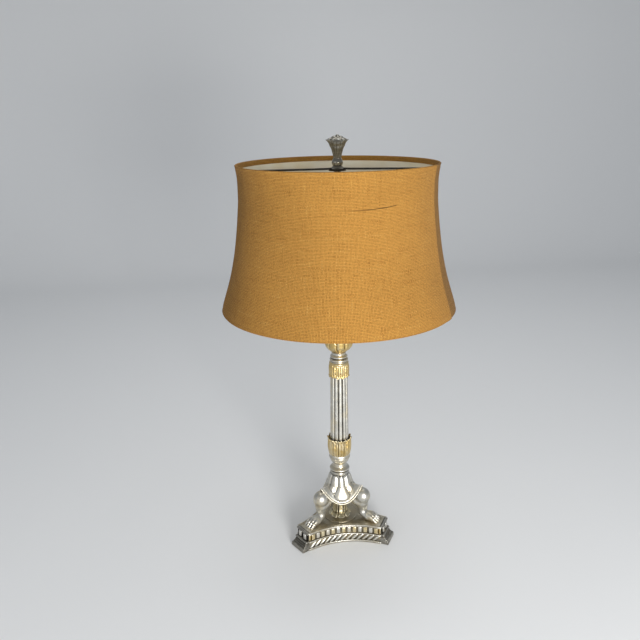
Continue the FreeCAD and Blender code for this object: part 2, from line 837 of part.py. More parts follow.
# ---- harp ----
def harp_saddle():
    half = harp_half_foot
    strip = Part.makeBox(2 * half, saddle_width, saddle_thick, Vector(-half, -saddle_width / 2, check_top))
    ends = [Part.makeCylinder(saddle_width / 2, saddle_thick, Vector(side * half, 0, check_top)) for side in (-1, 1)]
    ears = [Part.makeCylinder(wire_radius, ear_top - check_top, Vector(side * half, 0, check_top))
            for side in (-1, 1)]
    whole = strip.multiFuse(ends + ears)
    return whole.cut(rod(pipe_radius + slip_gap, 0, ear_top)).removeSplitter()


def pipe_locknut():
    corners_at = [point(8.0, saddle_top, 60 * i) for i in range(7)]
    nut = Part.Face(Part.makePolygon(corners_at)).extrude(Vector(0, 0, locknut_height))
    return nut.cut(rod(pipe_radius, 0, locknut_top + 1))


def harp():
    """One bowed wire, from its left foot over the top to its right foot."""
    foot = ear_top
    straight = foot + harp_foot_straight
    shoulder = foot + harp_height * 0.42
    wide_top = foot + harp_height * 0.60
    crown = harp_top - wire_radius
    crook = harp_top_half + 12.0

    def half(side):
        a = Vector(side * harp_half_foot, 0, foot)
        b = Vector(side * harp_half_foot, 0, straight)
        c = Vector(side * harp_half_width, 0, shoulder)
        d = Vector(side * harp_half_width, 0, wide_top)
        e = Vector(side * crook, 0, crown)
        f = Vector(side * harp_top_half * 0.3, 0, crown)
        return [a, b, c, d, e, f]

    corners_at = half(-1) + half(1)[::-1]
    path = rounded_path(corners_at, 26.0)
    section = Part.Wire(Part.makeCircle(wire_radius, corners_at[0], axis_z))
    return Part.Wire(path).makePipeShell([section], True, True)


def rounded_path(points, radius):
    """Straight runs joined by tangent arcs of one radius, or as large as the shorter run allows."""
    edges = []
    here = points[0]
    for before, corner, after in zip(points, points[1:], points[2:]):
        inward = (before - corner).normalize()
        outward = (after - corner).normalize()
        turn = math.pi - inward.getAngle(outward)
        if turn < 1e-3:
            continue
        room = 0.45 * min((before - corner).Length, (after - corner).Length)
        reach = min(radius * math.tan(turn / 2), room)
        size = reach / math.tan(turn / 2)
        start = corner + inward * reach
        end = corner + outward * reach
        bisector = (inward + outward).normalize()
        middle = corner + bisector * (size / math.cos(turn / 2) - size)
        edges.append(Part.LineSegment(here, start).toShape())
        edges.append(Part.Arc(start, middle, end).toShape())
        here = end
    edges.append(Part.LineSegment(here, points[-1]).toShape())
    return edges


def harp_sleeve(side):
    foot = saddle_top + seat_gap
    body = turned((wire_radius + running_gap, foot), (sleeve_radius - 0.6, foot), (sleeve_radius, foot + 0.6),
                  ((sleeve_radius - 0.7, foot + sleeve_length / 2), (sleeve_radius, foot + sleeve_length - 0.6)),
                  (sleeve_radius - 0.6, foot + sleeve_length), (wire_radius + running_gap, foot + sleeve_length))
    body.translate(Vector(side * harp_half_foot, 0, 0))
    return body


def harp_stud():
    collar = turned((0, stud_foot - 1.2), (stud_collar_radius - 1.5, stud_foot - 1.2),
                    ((stud_collar_radius, stud_foot + stud_collar_height * 0.4), (stud_collar_radius - 1, hub_seat)),
                    (0, hub_seat))
    saddle = Part.makeCylinder(wire_radius, stud_groove, Vector(-stud_groove / 2, 0, harp_top - wire_radius),
                               Vector(1, 0, 0))
    return collar.cut(saddle).fuse(rod(stud_radius, hub_seat, hub_seat + stud_length)).removeSplitter()


# ---- socket ----
def socket_cap():
    bore = pipe_radius + slip_gap
    inner = socket_radius - socket_wall
    z0 = locknut_top
    top = socket_cap_top
    outer = turned((bore, z0), (bore + 3.0, z0), ((socket_radius - 1.0, z0 + (top - z0) * 0.5), (socket_radius, top)),
                   (inner, top), ((inner - 1.0, z0 + (top - z0) * 0.55), (bore + 2.0, z0 + 1.5)), (bore, z0 + 1.5))
    return outer


def socket_shell():
    z0 = socket_cap_top
    top = socket_shell_top
    inner = socket_radius - socket_wall
    shell = turned((inner, z0), (socket_radius, z0), (socket_radius, z0 + 3.0),
                   ((socket_radius + 0.9, z0 + 4.5), (socket_radius, z0 + 6.0)), (socket_radius, top),
                   (inner - 0.8, top + 0.6), (inner, top - 0.2))
    hole = Part.makeCylinder(knob_stem_radius + 1.0, 30, Vector(0, 0, knob_axis), Vector(0, -1, 0))
    return shell.cut(hole)


knob_axis = socket_cap_top + knob_height_in_shell


def insulating_sleeve():
    outer = socket_radius - socket_wall
    sleeve = tube(outer, outer - liner_wall, socket_cap_top, socket_shell_top - 1.0)
    hole = Part.makeCylinder(knob_stem_radius + 1.0, 30, Vector(0, 0, knob_axis), Vector(0, -1, 0))
    return sleeve.cut(hole)


core_foot = socket_cap_top + 1.0
core_top = knob_axis + core_height / 2
liner_inner = socket_radius - socket_wall - liner_wall


def switch_core():
    radius = liner_inner
    core = rod(radius, core_foot, core_top)
    bore = Part.makeCylinder(knob_stem_radius + running_gap, radius + 1, Vector(0, -2.0, knob_axis), Vector(0, -1, 0))
    wire_way = Part.makeCylinder(3.0, 20, Vector(0, 8.0, core_foot - 1))
    return core.cut(bore).cut(wire_way)


def screw_shell():
    foot = core_top
    outer = screw_shell_radius
    inner = outer - screw_shell_wall
    return turned((3.0, foot), (outer, foot), (outer, foot + screw_shell_height),
                  (inner, foot + screw_shell_height), (inner, foot + screw_shell_wall), (3.0, foot + screw_shell_wall))


def centre_contact():
    foot = core_top
    top = foot + contact_height
    return turned((0, foot), (contact_radius, foot), (contact_radius, top - 0.8), (contact_radius - 1.0, top), (0, top))


def switch_knob():
    stem = Part.makeCylinder(knob_stem_radius, socket_radius + 4.0, Vector(0, -3.0, knob_axis), Vector(0, -1, 0))
    start = socket_radius + 2.0
    neck = Part.makeCylinder(knob_stem_radius + 1.6, 3.0, Vector(0, -start, knob_axis), Vector(0, -1, 0))
    grip = Part.makeCylinder(knob_radius, knob_length - 5.0, Vector(0, -start - 3.0, knob_axis), Vector(0, -1, 0))
    grip = grip.makeChamfer(1.2, grip.Edges)
    cuts = []
    for side in (-1, 1):
        cuts.append(Part.makeBox(10, knob_length, 2 * knob_radius + 4,
                                 Vector(2.6 if side > 0 else -12.6, -start - 3.0 - knob_length + 0.0,
                                        knob_axis - knob_radius - 2)))
    blade = grip
    for cut in cuts:
        blade = blade.cut(cut)
    return stem.multiFuse([neck, blade]).removeSplitter()


# ---- bulb ----
bulb_foot = core_top + contact_height + seat_gap
bulb_cap_foot = bulb_foot + bulb_button_height


def bulb_contact():
    return turned((0, bulb_foot), (bulb_button_radius - 1.8, bulb_foot), (bulb_button_radius, bulb_foot + 1.2),
                  (bulb_button_radius, bulb_cap_foot), (0, bulb_cap_foot))


def bulb_cap():
    top = bulb_cap_foot + bulb_cap_height
    return turned((0, bulb_cap_foot), (bulb_button_radius + 0.4, bulb_cap_foot),
                  (bulb_cap_radius, bulb_cap_foot + bulb_cap_taper), (bulb_cap_radius, top), (0, top))


def bulb_glass():
    foot = bulb_cap_foot + bulb_cap_height
    top = foot + bulb_glass_height
    centre = top - bulb_radius
    diagonal = math.sqrt(0.5)

    def side(inset):
        radius = bulb_radius - inset
        return ((bulb_neck_radius - inset + 4.4, foot + (centre - foot) * 0.46), (radius, centre)), (
            (radius * diagonal, centre + radius * diagonal), (0, centre + radius))

    outer = turned((0, foot), (bulb_neck_radius, foot), *side(0.0), arc=fine_arc_step)
    inner = turned((0, foot), (bulb_neck_radius - bulb_wall, foot), *side(bulb_wall), arc=fine_arc_step)
    return outer.cut(inner)


# ---- shade ----
def shade_curve(inset):
    """The shade's side from its foot to its top, inset from the outer face."""
    z0 = shade_foot_height
    h = shade_height
    points = [(shade_bottom, 0.0), (shade_flare, 0.22), (shade_middle, 0.58), (shade_waist, 0.82), (shade_top, 1.0)]
    curve = Part.BSplineCurve()
    curve.interpolate([point(r - inset, z0 + h * share) for r, share in points])
    return curve


def shade_line(inset):
    """The same side in straight runs."""
    curve = shade_curve(inset)
    first, last = curve.FirstParameter, curve.LastParameter
    points = [curve.value(first + (last - first) * i / shade_runs) for i in range(shade_runs + 1)]
    return [Part.LineSegment(a, b).toShape() for a, b in zip(points, points[1:])]


def shade_skin(outer, inner):
    ends = [(outer[0].Vertexes[0].Point, inner[0].Vertexes[0].Point),
            (outer[-1].Vertexes[-1].Point, inner[-1].Vertexes[-1].Point)]
    caps = [Part.LineSegment(a, b).toShape() for a, b in ends]
    wire = Part.Wire(Part.__sortEdges__(outer + inner + caps))
    return Part.Face(wire).revolve(origin, axis_z, 360)


def shade_cover():
    return shade_skin(shade_line(0.0), shade_line(shade_wall))


def shade_lining():
    inset = shade_wall + lining_gap
    return shade_skin(shade_line(inset), shade_line(inset + lining_wall))


def shade_inner_radius(height):
    """The lining's inner radius at a height."""
    curve = shade_curve(shade_wall + lining_gap + lining_wall)
    return curve.intersect(Part.Plane(Vector(0, 0, height), axis_z))[0][0].X


def hoop(height):
    """A flat hoop just inside the lining."""
    low = height - hoop_height / 2
    high = height + hoop_height / 2
    outer = min(shade_inner_radius(low), shade_inner_radius(high)) - hoop_gap
    return tube(outer, outer - hoop_thick, low, high)


def shade_bottom_ring():
    return hoop(shade_foot_height + ring_drop)


def shade_spider():
    """The top hoop with three arms that climb from the hub's upper face to it."""
    height = shade_rim_height - ring_drop
    ring = hoop(height)
    radius = shade_inner_radius(height) - hoop_gap - hoop_thick / 2
    start = finial_base_radius + clear_gap
    low = hub_seat + seat_gap + hub_thick + arm_radius
    points = [Vector(start, 0, low), Vector(start + arm_level, 0, low), Vector(radius, 0, height)]
    path = Part.Wire(rounded_path(points, 12.0))
    section = Part.Wire(Part.makeCircle(arm_radius, points[0], Vector(1, 0, 0)))
    arm = path.makePipeShell([section], True, True)
    arm = arm.common(rod(radius + hoop_thick * 0.3, low - 10, height + 10))
    return ring.multiFuse(ring_of(arm, 3, arm_start + shade_turn)).removeSplitter()


def hub_washer():
    foot = hub_seat + seat_gap
    return tube(hub_radius, stud_radius + running_gap, foot, foot + hub_thick)


# ---- finial ----
def finial_base():
    foot = finial_foot
    top = foot + finial_base_height
    bore = stud_radius + running_gap
    return turned((bore, foot), (finial_base_radius - 0.8, foot),
                  ((finial_base_radius, foot + 1.4), (finial_base_radius - 0.8, foot + 2.8)),
                  (finial_base_radius - 3.0, foot + 3.2),
                  ((finial_base_radius - 4.6, foot + 5.0), (finial_base_radius - 3.4, top)), (bore, top))


finial_ball_top = finial_foot + finial_base_height + 2 * finial_ball_radius * 0.62


def finial_body():
    bore = stud_radius + running_gap
    z0 = finial_foot + finial_base_height
    z1 = finial_ball_top
    z2 = z1 + finial_trumpet_height
    ball = turned((0, z0), (finial_base_radius - 4.4, z0), ((finial_ball_radius, (z0 + z1) / 2), (finial_waist, z1)),
                  (0, z1))
    levels = [(finial_waist + 0.6, z1), (finial_waist + 1.4, z1 + finial_trumpet_height * 0.35),
              (finial_waist + 5.4, z1 + finial_trumpet_height * 0.74), (finial_rim, z2)]
    wires = [lobed_wire(z, r - 1.1, 1.1, finial_flutes) for r, z in levels]
    trumpet = Part.makeLoft(wires, True, True)
    hole = rod(bore, z0 - 1, finial_foot + finial_bore_depth + 1.0)
    return ball.fuse(trumpet).cut(hole).removeSplitter()


def finial_bead():
    z0 = finial_ball_top + finial_trumpet_height
    centre = z0 + finial_bead_rise
    low = math.radians(-25.0)
    high = math.radians(35.0)

    def on_bead(angle):
        return finial_bead_radius * math.cos(angle), centre + finial_bead_radius * math.sin(angle)

    return turned((0, z0), (finial_rim - 4.0, z0), ((finial_rim * 0.5, z0 + 1.2), on_bead(low)),
                  (on_bead(high), (0, centre + finial_bead_radius)), arc=fine_arc_step)


# ---- write every piece ----
def in_shade(shape):
    return spun(shape, shade_turn)


one_leg = seated_leg()
pieces = {
    "plinth": plinth,
    "base_felt": base_felt,
    "base_weight": base_weight,
    "base_washer": base_washer,
    "base_nut": base_nut,
    "cord_bushing": cord_bushing,
    "lamp_pipe": lamp_pipe,
    "leg_left": lambda: spun(one_leg, first_corner),
    "leg_right": lambda: spun(one_leg, first_corner + 120.0),
    "leg_rear": lambda: spun(one_leg, first_corner + 240.0),
    "leg_bolts": lambda: Part.makeCompound(leg_bolt_shapes(leg_bolt_radius, leg_bolt_head)),
    "foot_baluster": foot_baluster,
    "apron": apron,
    "bell_body": bell_body,
    "body_ring": body_ring,
    "lower_cup": lower_cup,
    "lower_leaf_collar": lower_leaf_collar,
    "fluted_shaft": fluted_shaft,
    "upper_leaf_collar": upper_leaf_collar,
    "column_capital": column_capital,
    "candle_cup": candle_cup,
    "cup_cover": cup_cover,
    "check_ring": check_ring,
    "harp_saddle": harp_saddle,
    "pipe_locknut": pipe_locknut,
    "harp": harp,
    "harp_sleeve_left": lambda: harp_sleeve(-1),
    "harp_sleeve_right": lambda: harp_sleeve(1),
    "harp_stud": harp_stud,
    "socket_cap": socket_cap,
    "socket_shell": socket_shell,
    "insulating_sleeve": insulating_sleeve,
    "switch_core": switch_core,
    "screw_shell": screw_shell,
    "centre_contact": centre_contact,
    "switch_knob": switch_knob,
    "bulb_contact": bulb_contact,
    "bulb_cap": bulb_cap,
    "bulb_glass": bulb_glass,
    "shade_cover": shade_cover,
    "shade_lining": shade_lining,
    "shade_bottom_ring": shade_bottom_ring,
    "shade_spider": shade_spider,
    "hub_washer": hub_washer,
    "finial_base": finial_base,
    "finial_body": finial_body,
    "finial_bead": finial_bead,
}

os.makedirs("parts", exist_ok=True)
for name, make in pieces.items():
    shape = make()
    shape.exportStep(f"parts/{name}.step")
    box = shape.BoundBox
    solids = len(shape.Solids)
    print(f"{name:20s} solids {solids} valid {shape.isValid()} volume {shape.Volume:10.0f} "
          f"z {box.ZMin:7.2f} to {box.ZMax:7.2f}")
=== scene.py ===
import json
import math

import bmesh
import bpy
from mathutils import Matrix, Vector
from mathutils.bvhtree import BVHTree


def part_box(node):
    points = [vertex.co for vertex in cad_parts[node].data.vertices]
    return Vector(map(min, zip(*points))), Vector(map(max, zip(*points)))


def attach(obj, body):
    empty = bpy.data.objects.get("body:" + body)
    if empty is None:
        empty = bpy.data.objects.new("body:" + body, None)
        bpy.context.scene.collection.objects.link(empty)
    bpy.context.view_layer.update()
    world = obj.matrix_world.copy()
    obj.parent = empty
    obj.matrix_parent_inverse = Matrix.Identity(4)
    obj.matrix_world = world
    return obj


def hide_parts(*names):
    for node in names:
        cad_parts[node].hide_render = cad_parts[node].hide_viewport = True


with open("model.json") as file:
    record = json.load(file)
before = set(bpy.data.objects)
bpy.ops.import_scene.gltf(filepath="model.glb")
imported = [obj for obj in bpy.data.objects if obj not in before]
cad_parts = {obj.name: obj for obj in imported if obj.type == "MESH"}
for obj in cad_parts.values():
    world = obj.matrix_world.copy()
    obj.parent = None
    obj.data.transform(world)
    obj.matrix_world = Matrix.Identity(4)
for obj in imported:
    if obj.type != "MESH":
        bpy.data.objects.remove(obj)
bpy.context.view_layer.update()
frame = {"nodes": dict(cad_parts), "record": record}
mm = 0.001
bore = 5.3      # clear of the lamp pipe, in mm
print("frame loaded")


def clearSelection():
    if bpy.context.object and bpy.context.object.mode != "OBJECT":
        bpy.ops.object.mode_set(mode="OBJECT")
    bpy.ops.object.select_all(action="DESELECT")


def takeUp(piece):
    clearSelection()
    piece.select_set(True)
    bpy.context.view_layer.objects.active = piece


def smoothen(piece, angle=38):
    takeUp(piece)
    bpy.ops.object.shade_smooth_by_angle(angle=math.radians(angle))


def pointOutwards(piece, merge=None):
    takeUp(piece)
    bpy.ops.object.mode_set(mode="EDIT")
    bpy.ops.mesh.select_all(action="SELECT")
    if merge:
        bpy.ops.mesh.remove_doubles(threshold=merge * mm)
    bpy.ops.mesh.normals_make_consistent(inside=False)
    bpy.ops.object.mode_set(mode="OBJECT")


# Adds one modifier with its values and applies it.
def finishWith(piece, kind, **values):
    modifier = piece.modifiers.new(kind, kind)
    for name, value in values.items():
        setattr(modifier, name, value)
    takeUp(piece)
    bpy.ops.object.modifier_apply(modifier=modifier.name)


# A profile in mm: each step is (radius, height), or (radius, height, bulge) for a rounded run to it.
def profile(start, *steps, parts=8):
    rings = [start]
    for step in steps:
        radius, height = rings[-1]
        if len(step) == 2:
            rings.append(step)
            continue
        across = step[0] - radius
        up = step[1] - height
        length = math.hypot(across, up)
        for i in range(1, parts + 1):
            share = i / parts
            swell = step[2] * math.sin(math.pi * share)
            rings.append((radius + across * share + up / length * swell,
                          height + up * share - across / length * swell))
    return rings


# Turns a piece ring by ring: a circle that is extruded, lifted and scaled.
def turnPiece(name, rings, sides=72, smoothAngle=38):
    clearSelection()
    rings = [(max(radius, 0.02), height) for radius, height in rings]
    lastRadius, lastHeight = rings[0]
    bpy.ops.mesh.primitive_circle_add(vertices=sides, radius=lastRadius * mm,
                                      location=(0, 0, lastHeight * mm), enter_editmode=True)
    piece = bpy.context.object
    piece.name = name
    for radius, height in rings[1:]:
        scale = radius / lastRadius
        bpy.ops.mesh.extrude_region_move(TRANSFORM_OT_translate={"value": (0, 0, (height - lastHeight) * mm)})
        bpy.ops.transform.resize(value=(scale, scale, 1), center_override=(0, 0, height * mm))
        lastRadius, lastHeight = radius, height
    pointOutwards(piece, 0.05)
    bpy.ops.object.transform_apply(location=True, rotation=False, scale=False)
    smoothen(piece, smoothAngle)
    return piece


def joinPieces(pieces, name):
    clearSelection()
    for piece in pieces:
        piece.select_set(True)
    bpy.context.view_layer.objects.active = pieces[0]
    if len(pieces) > 1:
        bpy.ops.object.join()
    pieces[0].name = name
    return pieces[0]


def spun(degrees, axis="Z"):
    return Matrix.Rotation(math.radians(degrees), 4, axis)


def shifted(x, y, z):
    return Matrix.Translation((x * mm, y * mm, z * mm))


def roundAxis(count, start=0.0):
    return [spun(start + 360.0 * i / count) for i in range(count)]


def copyOf(piece, transform):
    takeUp(piece)
    bpy.ops.object.duplicate()
    copy = bpy.context.object
    copy.data.transform(transform)
    return copy


# Copies a piece, each copy with its own mesh, by a list of transforms, and joins them.
def copiesOf(piece, transforms, name):
    copies = [copyOf(piece, transform) for transform in transforms]
    bpy.data.objects.remove(piece)
    return joinPieces(copies, name)


# Moves every point of a piece by a rule, in mm.
def reshape(piece, rule):
    for vert in piece.data.vertices:
        vert.co = Vector(rule(vert.co / mm)) * mm
    piece.data.update()


def radiusOf(place):
    return math.hypot(place.x, place.y)


def azimuthOf(place):
    return math.degrees(math.atan2(place.y, place.x))


# How far a place is from the middle of its flute, lobe or leaf: 0 in the middle, 1 between two.
def acrossOf(place, count):
    return abs(((azimuthOf(place) + 90.0) / (360.0 / count) + 0.5) % 1.0 - 0.5) * 2


def drawnIn(place, depth, up=0.0):
    radius = radiusOf(place)
    factor = (radius - depth) / radius
    return (place.x * factor, place.y * factor, place.z + up)


# A ball drawn out to a rounded swelling, in mm.
def blob(place, size, lean=0.0, turn=0.0, fine=24):
    clearSelection()
    bpy.ops.mesh.primitive_uv_sphere_add(segments=fine, ring_count=fine // 2, radius=1 * mm,
                                         location=[c * mm for c in place],
                                         rotation=(0, math.radians(lean), math.radians(turn)), scale=size)
    bpy.ops.object.transform_apply(location=True, rotation=True, scale=True)
    return bpy.context.object


# A round wire along points in mm, made a mesh. taper gives each point's share of the full radius.
def wirePiece(name, points, radius, taper=None, closed=False, sides=3):
    curve = bpy.data.curves.new(name, "CURVE")
    curve.dimensions = "3D"
    curve.bevel_depth = radius * mm
    curve.bevel_resolution = sides
    curve.use_fill_caps = not closed
    spline = curve.splines.new("POLY")
    spline.points.add(len(points) - 1)
    for i, place in enumerate(points):
        spline.points[i].co = (place[0] * mm, place[1] * mm, place[2] * mm, 1)
        spline.points[i].radius = taper[i] if taper else 1.0
    spline.use_cyclic_u = closed
    piece = bpy.data.objects.new(name, curve)
    bpy.context.scene.collection.objects.link(piece)
    takeUp(piece)
    bpy.ops.object.convert(target="MESH")
    piece = bpy.context.object
    smoothen(piece, 60)
    return piece


def span(node):
    low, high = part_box(node)
    return low.z / mm, high.z / mm


# Works out painted shade and wear for a piece: low where its own surfaces shut a point in, where its finish
# is painted dark as shade and glazing, high on sharp edges, where it is rubbed bright: 0 in recesses, 1 on
# edges.
shadeAndWearSettings = {"reach": 7.0, "rays": 10, "lift": 0.12, "open": 0.62, "shut": 0.95, "sharp": 0.9}


def rayFan(count):
    fan = []
    for i in range(count):
        rise = 0.25 + 0.70 * (i + 0.5) / count
        turn = i * 2.39996      # the golden angle, in radians
        flat = math.sqrt(1.0 - rise * rise)
        fan.append(Vector((flat * math.cos(turn), flat * math.sin(turn), rise)))
    return fan


def paintShadeAndWear(piece, settings=shadeAndWearSettings):
    mesh = piece.data
    bend = [0.0] * len(mesh.vertices)
    count = [0] * len(mesh.vertices)
    for edge in mesh.edges:
        a, b = edge.vertices
        way = mesh.vertices[b].co - mesh.vertices[a].co
        if way.length < 1e-9:
            continue
        way.normalize()
        bend[a] += way.dot(mesh.vertices[a].normal)
        bend[b] -= way.dot(mesh.vertices[b].normal)
        count[a] += 1
        count[b] += 1
    tree = BVHTree.FromPolygons([v.co for v in mesh.vertices], [f.vertices for f in mesh.polygons])
    fan = rayFan(settings["rays"])
    reach = settings["reach"] * mm
    # the painted shade and wear go into a colour attribute that the leaf finish reads
    layer = mesh.color_attributes.new("shadeAndWear", "FLOAT_COLOR", "POINT")
    for vert in mesh.vertices:
        side = vert.normal.orthogonal().normalized()
        across = vert.normal.cross(side)
        start = vert.co + vert.normal * settings["lift"] * mm
        shut = 0.0
        for ray in fan:
            hit = tree.ray_cast(start, side * ray.x + across * ray.y + vert.normal * ray.z, reach)
            if hit[0]:
                shut += 1.0 - hit[3] / reach
        cavity = bend[vert.index] / max(1, count[vert.index])
        shade = settings["open"] - settings["shut"] * shut / len(fan) - cavity * settings["sharp"]
        shade = min(1.0, max(0.0, shade))
        layer.data[vert.index].color = (shade, shade, shade, 1)


# A finish in the making: each call adds a node, linked to what it is given.
# It follows the object's own places, or the cloth where a piece has one laid on it.
class Finish:
    def __init__(self, name, cloth=None):
        self.material = bpy.data.materials.new(name)
        self.material.use_nodes = True
        self.tree = self.material.node_tree
        if cloth:
            self.place = self.node("UVMap", uv_map=cloth).outputs["UV"]
        else:
            self.place = self.node("TexCoord").outputs["Object"]

    def node(self, kind, **values):
        node = self.tree.nodes.new("ShaderNode" + kind)
        for name, value in values.items():
            setattr(node, name, value)
        return node

    def put(self, node, values):
        for socket, value in values.items():
            if isinstance(value, bpy.types.NodeSocket):
                self.tree.links.new(value, node.inputs[socket])
            else:
                node.inputs[socket].default_value = (*value, 1) if isinstance(value, tuple) else value

    def noise(self, place, scale, detail=4.0, roughness=0.55):
        node = self.node("TexNoise")
        self.put(node, {"Vector": place, "Scale": scale, "Detail": detail, "Roughness": roughness})
        return node.outputs["Fac"]

    def ramp(self, value, *stops):
        node = self.node("ValToRGB")
        elements = node.color_ramp.elements
        while len(elements) < len(stops):
            elements.new(0.5)
        for element, (place, color) in zip(elements, stops):
            element.position = place
            element.color = (*color, 1) if isinstance(color, tuple) else (color, color, color, 1)
        self.put(node, {"Fac": value})
        return node.outputs["Color"]

    def mix(self, share, low, high, blend="MIX"):
        node = self.node("Mix", data_type="RGBA", blend_type=blend)
        self.put(node, {0: share, 6: low, 7: high})
        return node.outputs[2]

    def maths(self, operation, *values):
        node = self.node("Math", operation=operation)
        self.put(node, dict(enumerate(values)))
        return node.outputs[0]

    def plus(self, first, second):
        return self.maths("ADD", first, second)

    def minus(self, first, second):
        return self.maths("SUBTRACT", first, second)

    def times(self, first, second):
        return self.maths("MULTIPLY", first, second)

    def over(self, first, second):
        return self.maths("DIVIDE", first, second)

    # Fills the shader's own sockets, with a relief from height where there is one, its depth in mm.
    def shade(self, values, height=None, strength=0.0, depth=0.0):
        if height is not None:
            bump = self.node("Bump")
            self.put(bump, {"Strength": strength, "Distance": depth * mm, "Height": height})
            values = {**values, "Normal": bump.outputs["Normal"]}
        self.put(self.tree.nodes["Principled BSDF"], values)
        return self.material


# the darkest colour of each leaf is painted into recesses, partly real glazing and partly painted shade; the
# brightest is its rubbed edges
leafSettings = {
    "silver_leaf": {
        "bright": (0.86, 0.84, 0.78), "leaf": (0.56, 0.545, 0.49), "glazeAndShade": (0.030, 0.023, 0.015),
        "warm": (0.68, 0.56, 0.33), "warmShare": 0.55, "roughness": (0.34, 0.54)},
    "gold_leaf": {
        "bright": (0.92, 0.84, 0.60), "leaf": (0.60, 0.43, 0.16), "glazeAndShade": (0.060, 0.030, 0.008),
        "warm": (0.66, 0.60, 0.46), "warmShare": 0.50, "roughness": (0.32, 0.54)},
    "plinth_metal": {
        "bright": (0.78, 0.74, 0.62), "leaf": (0.36, 0.32, 0.235), "glazeAndShade": (0.030, 0.024, 0.015),
        "warm": (0.40, 0.31, 0.17), "warmShare": 0.45, "roughness": (0.36, 0.56)},
    "pale_gold": {
        "bright": (0.90, 0.85, 0.68), "leaf": (0.52, 0.46, 0.30), "glazeAndShade": (0.035, 0.025, 0.010),
        "warm": (0.60, 0.46, 0.18), "warmShare": 0.60, "roughness": (0.34, 0.54)},
    "pewter": {
        "bright": (0.46, 0.44, 0.39), "leaf": (0.145, 0.135, 0.110), "glazeAndShade": (0.022, 0.019, 0.014),
        "warm": (0.17, 0.14, 0.09), "warmShare": 0.50, "roughness": (0.34, 0.54)},
    "aged_nickel": {
        "bright": (0.62, 0.60, 0.54), "leaf": (0.24, 0.225, 0.185), "glazeAndShade": (0.010, 0.009, 0.007),
        "warm": (0.27, 0.22, 0.15), "warmShare": 0.40, "roughness": (0.16, 0.34)},
}


# Leaf laid over dark glazing: painted shade and the glazing darken the recesses, edges are rubbed bright,
# warm in clouds.
def leafFinish(name, settings, withShadeAndWear=True):
    finish = Finish(name)
    clouds = finish.noise(finish.place, 34.0, 5.0, 0.6)
    grain = finish.noise(finish.place, 420.0, 6.0, 0.7)
    patches = finish.noise(finish.place, 90.0, 3.0, 0.5)
    if withShadeAndWear:
        shadeAndWear = finish.node("Attribute", attribute_name="shadeAndWear").outputs["Fac"]
        depth = finish.plus(shadeAndWear, finish.times(finish.minus(patches, 0.5), 0.30))
    else:
        depth = finish.plus(finish.times(patches, 0.3), 0.45)
    warmth = finish.ramp(clouds, (0.46, 0.0), (0.64, settings["warmShare"]))
    # where the leaf is free of painted shade and glazing; the rest takes the dark colour
    unshadedUnglazed = finish.ramp(depth, (0.20, 0.0), (0.50, 1.0))
    rubbed = finish.ramp(depth, (0.64, 0.0), (0.84, 0.95))
    color = finish.mix(unshadedUnglazed, settings["glazeAndShade"], finish.mix(warmth, settings["leaf"], settings["warm"]))
    color = finish.mix(rubbed, color, settings["bright"])
    color = finish.mix(0.18, color, finish.ramp(grain, (0.35, 0.25), (0.65, 1.0)), "MULTIPLY")
    low, high = settings["roughness"]
    dull = finish.plus(finish.times(grain, 0.5), finish.times(unshadedUnglazed, -0.35))
    dull = finish.ramp(dull, (0.0, low), (0.35, high))
    return finish.shade({"Base Color": color, "Metallic": 0.92, "Roughness": dull},
                        finish.plus(grain, finish.times(patches, 1.5)), 0.45, 0.14)


# Two tones, metallic, low and high roughness, scale of the clouds and depth of the grain in mm
plainSettings = {
    "felt": ((0.035, 0.055, 0.038), (0.060, 0.085, 0.060), 0.0, (0.88, 0.98), 120.0, 0.3),
    "iron": ((0.045, 0.043, 0.040), (0.090, 0.080, 0.070), 0.6, (0.55, 0.8), 60.0, 0.3),
    "steel": ((0.46, 0.46, 0.45), (0.60, 0.60, 0.58), 1.0, (0.28, 0.45), 80.0, 0.02),
    "dark_steel": ((0.020, 0.017, 0.014), (0.050, 0.040, 0.030), 0.5, (0.30, 0.50), 70.0, 0.02),
    "nickel": ((0.48, 0.46, 0.42), (0.62, 0.59, 0.54), 1.0, (0.22, 0.36), 60.0, 0.02),
    "brass": ((0.56, 0.40, 0.16), (0.74, 0.56, 0.26), 1.0, (0.22, 0.38), 60.0, 0.02),
    "black_plastic": ((0.016, 0.016, 0.016), (0.030, 0.029, 0.028), 0.0, (0.30, 0.48), 90.0, 0.02),
    "card": ((0.36, 0.26, 0.14), (0.48, 0.36, 0.21), 0.0, (0.75, 0.9), 50.0, 0.1),
    "aluminium_shell": ((0.66, 0.66, 0.66), (0.80, 0.80, 0.79), 1.0, (0.25, 0.4), 90.0, 0.02),
}


def plainFinish(name, low, high, metallic, roughness, scale, depth):
    finish = Finish(name)
    clouds = finish.noise(finish.place, scale, 5.0, 0.6)
    grain = finish.noise(finish.place, scale * 9, 4.0, 0.6)
    color = finish.mix(finish.ramp(clouds, (0.35, 0.0), (0.65, 1.0)), low, high)
    dull = finish.ramp(grain, (0.3, roughness[0]), (0.7, roughness[1]))
    return finish.shade({"Base Color": color, "Metallic": metallic, "Roughness": dull}, grain, 0.3, depth)


burlapSettings = {
    "warpPitch": 1.95, "weftPitch": 2.05,      # mm from thread to thread
    "thread": (0.500, 0.252, 0.053), "dark": (0.360, 0.170, 0.032), "pale": (0.640, 0.365, 0.098),
    "gap": (0.120, 0.048, 0.010), "stain": (0.08, 0.036, 0.010),
    # one dark slub in the weft: where it starts, how long it is, its height and how far it climbs, in m
    "slubStart": 0.8957, "slubLength": 0.1078, "slubHeight": 0.1893, "slubClimb": 0.0044, "slubHalf": 0.0010,
    "seamShade": 0.12,
}


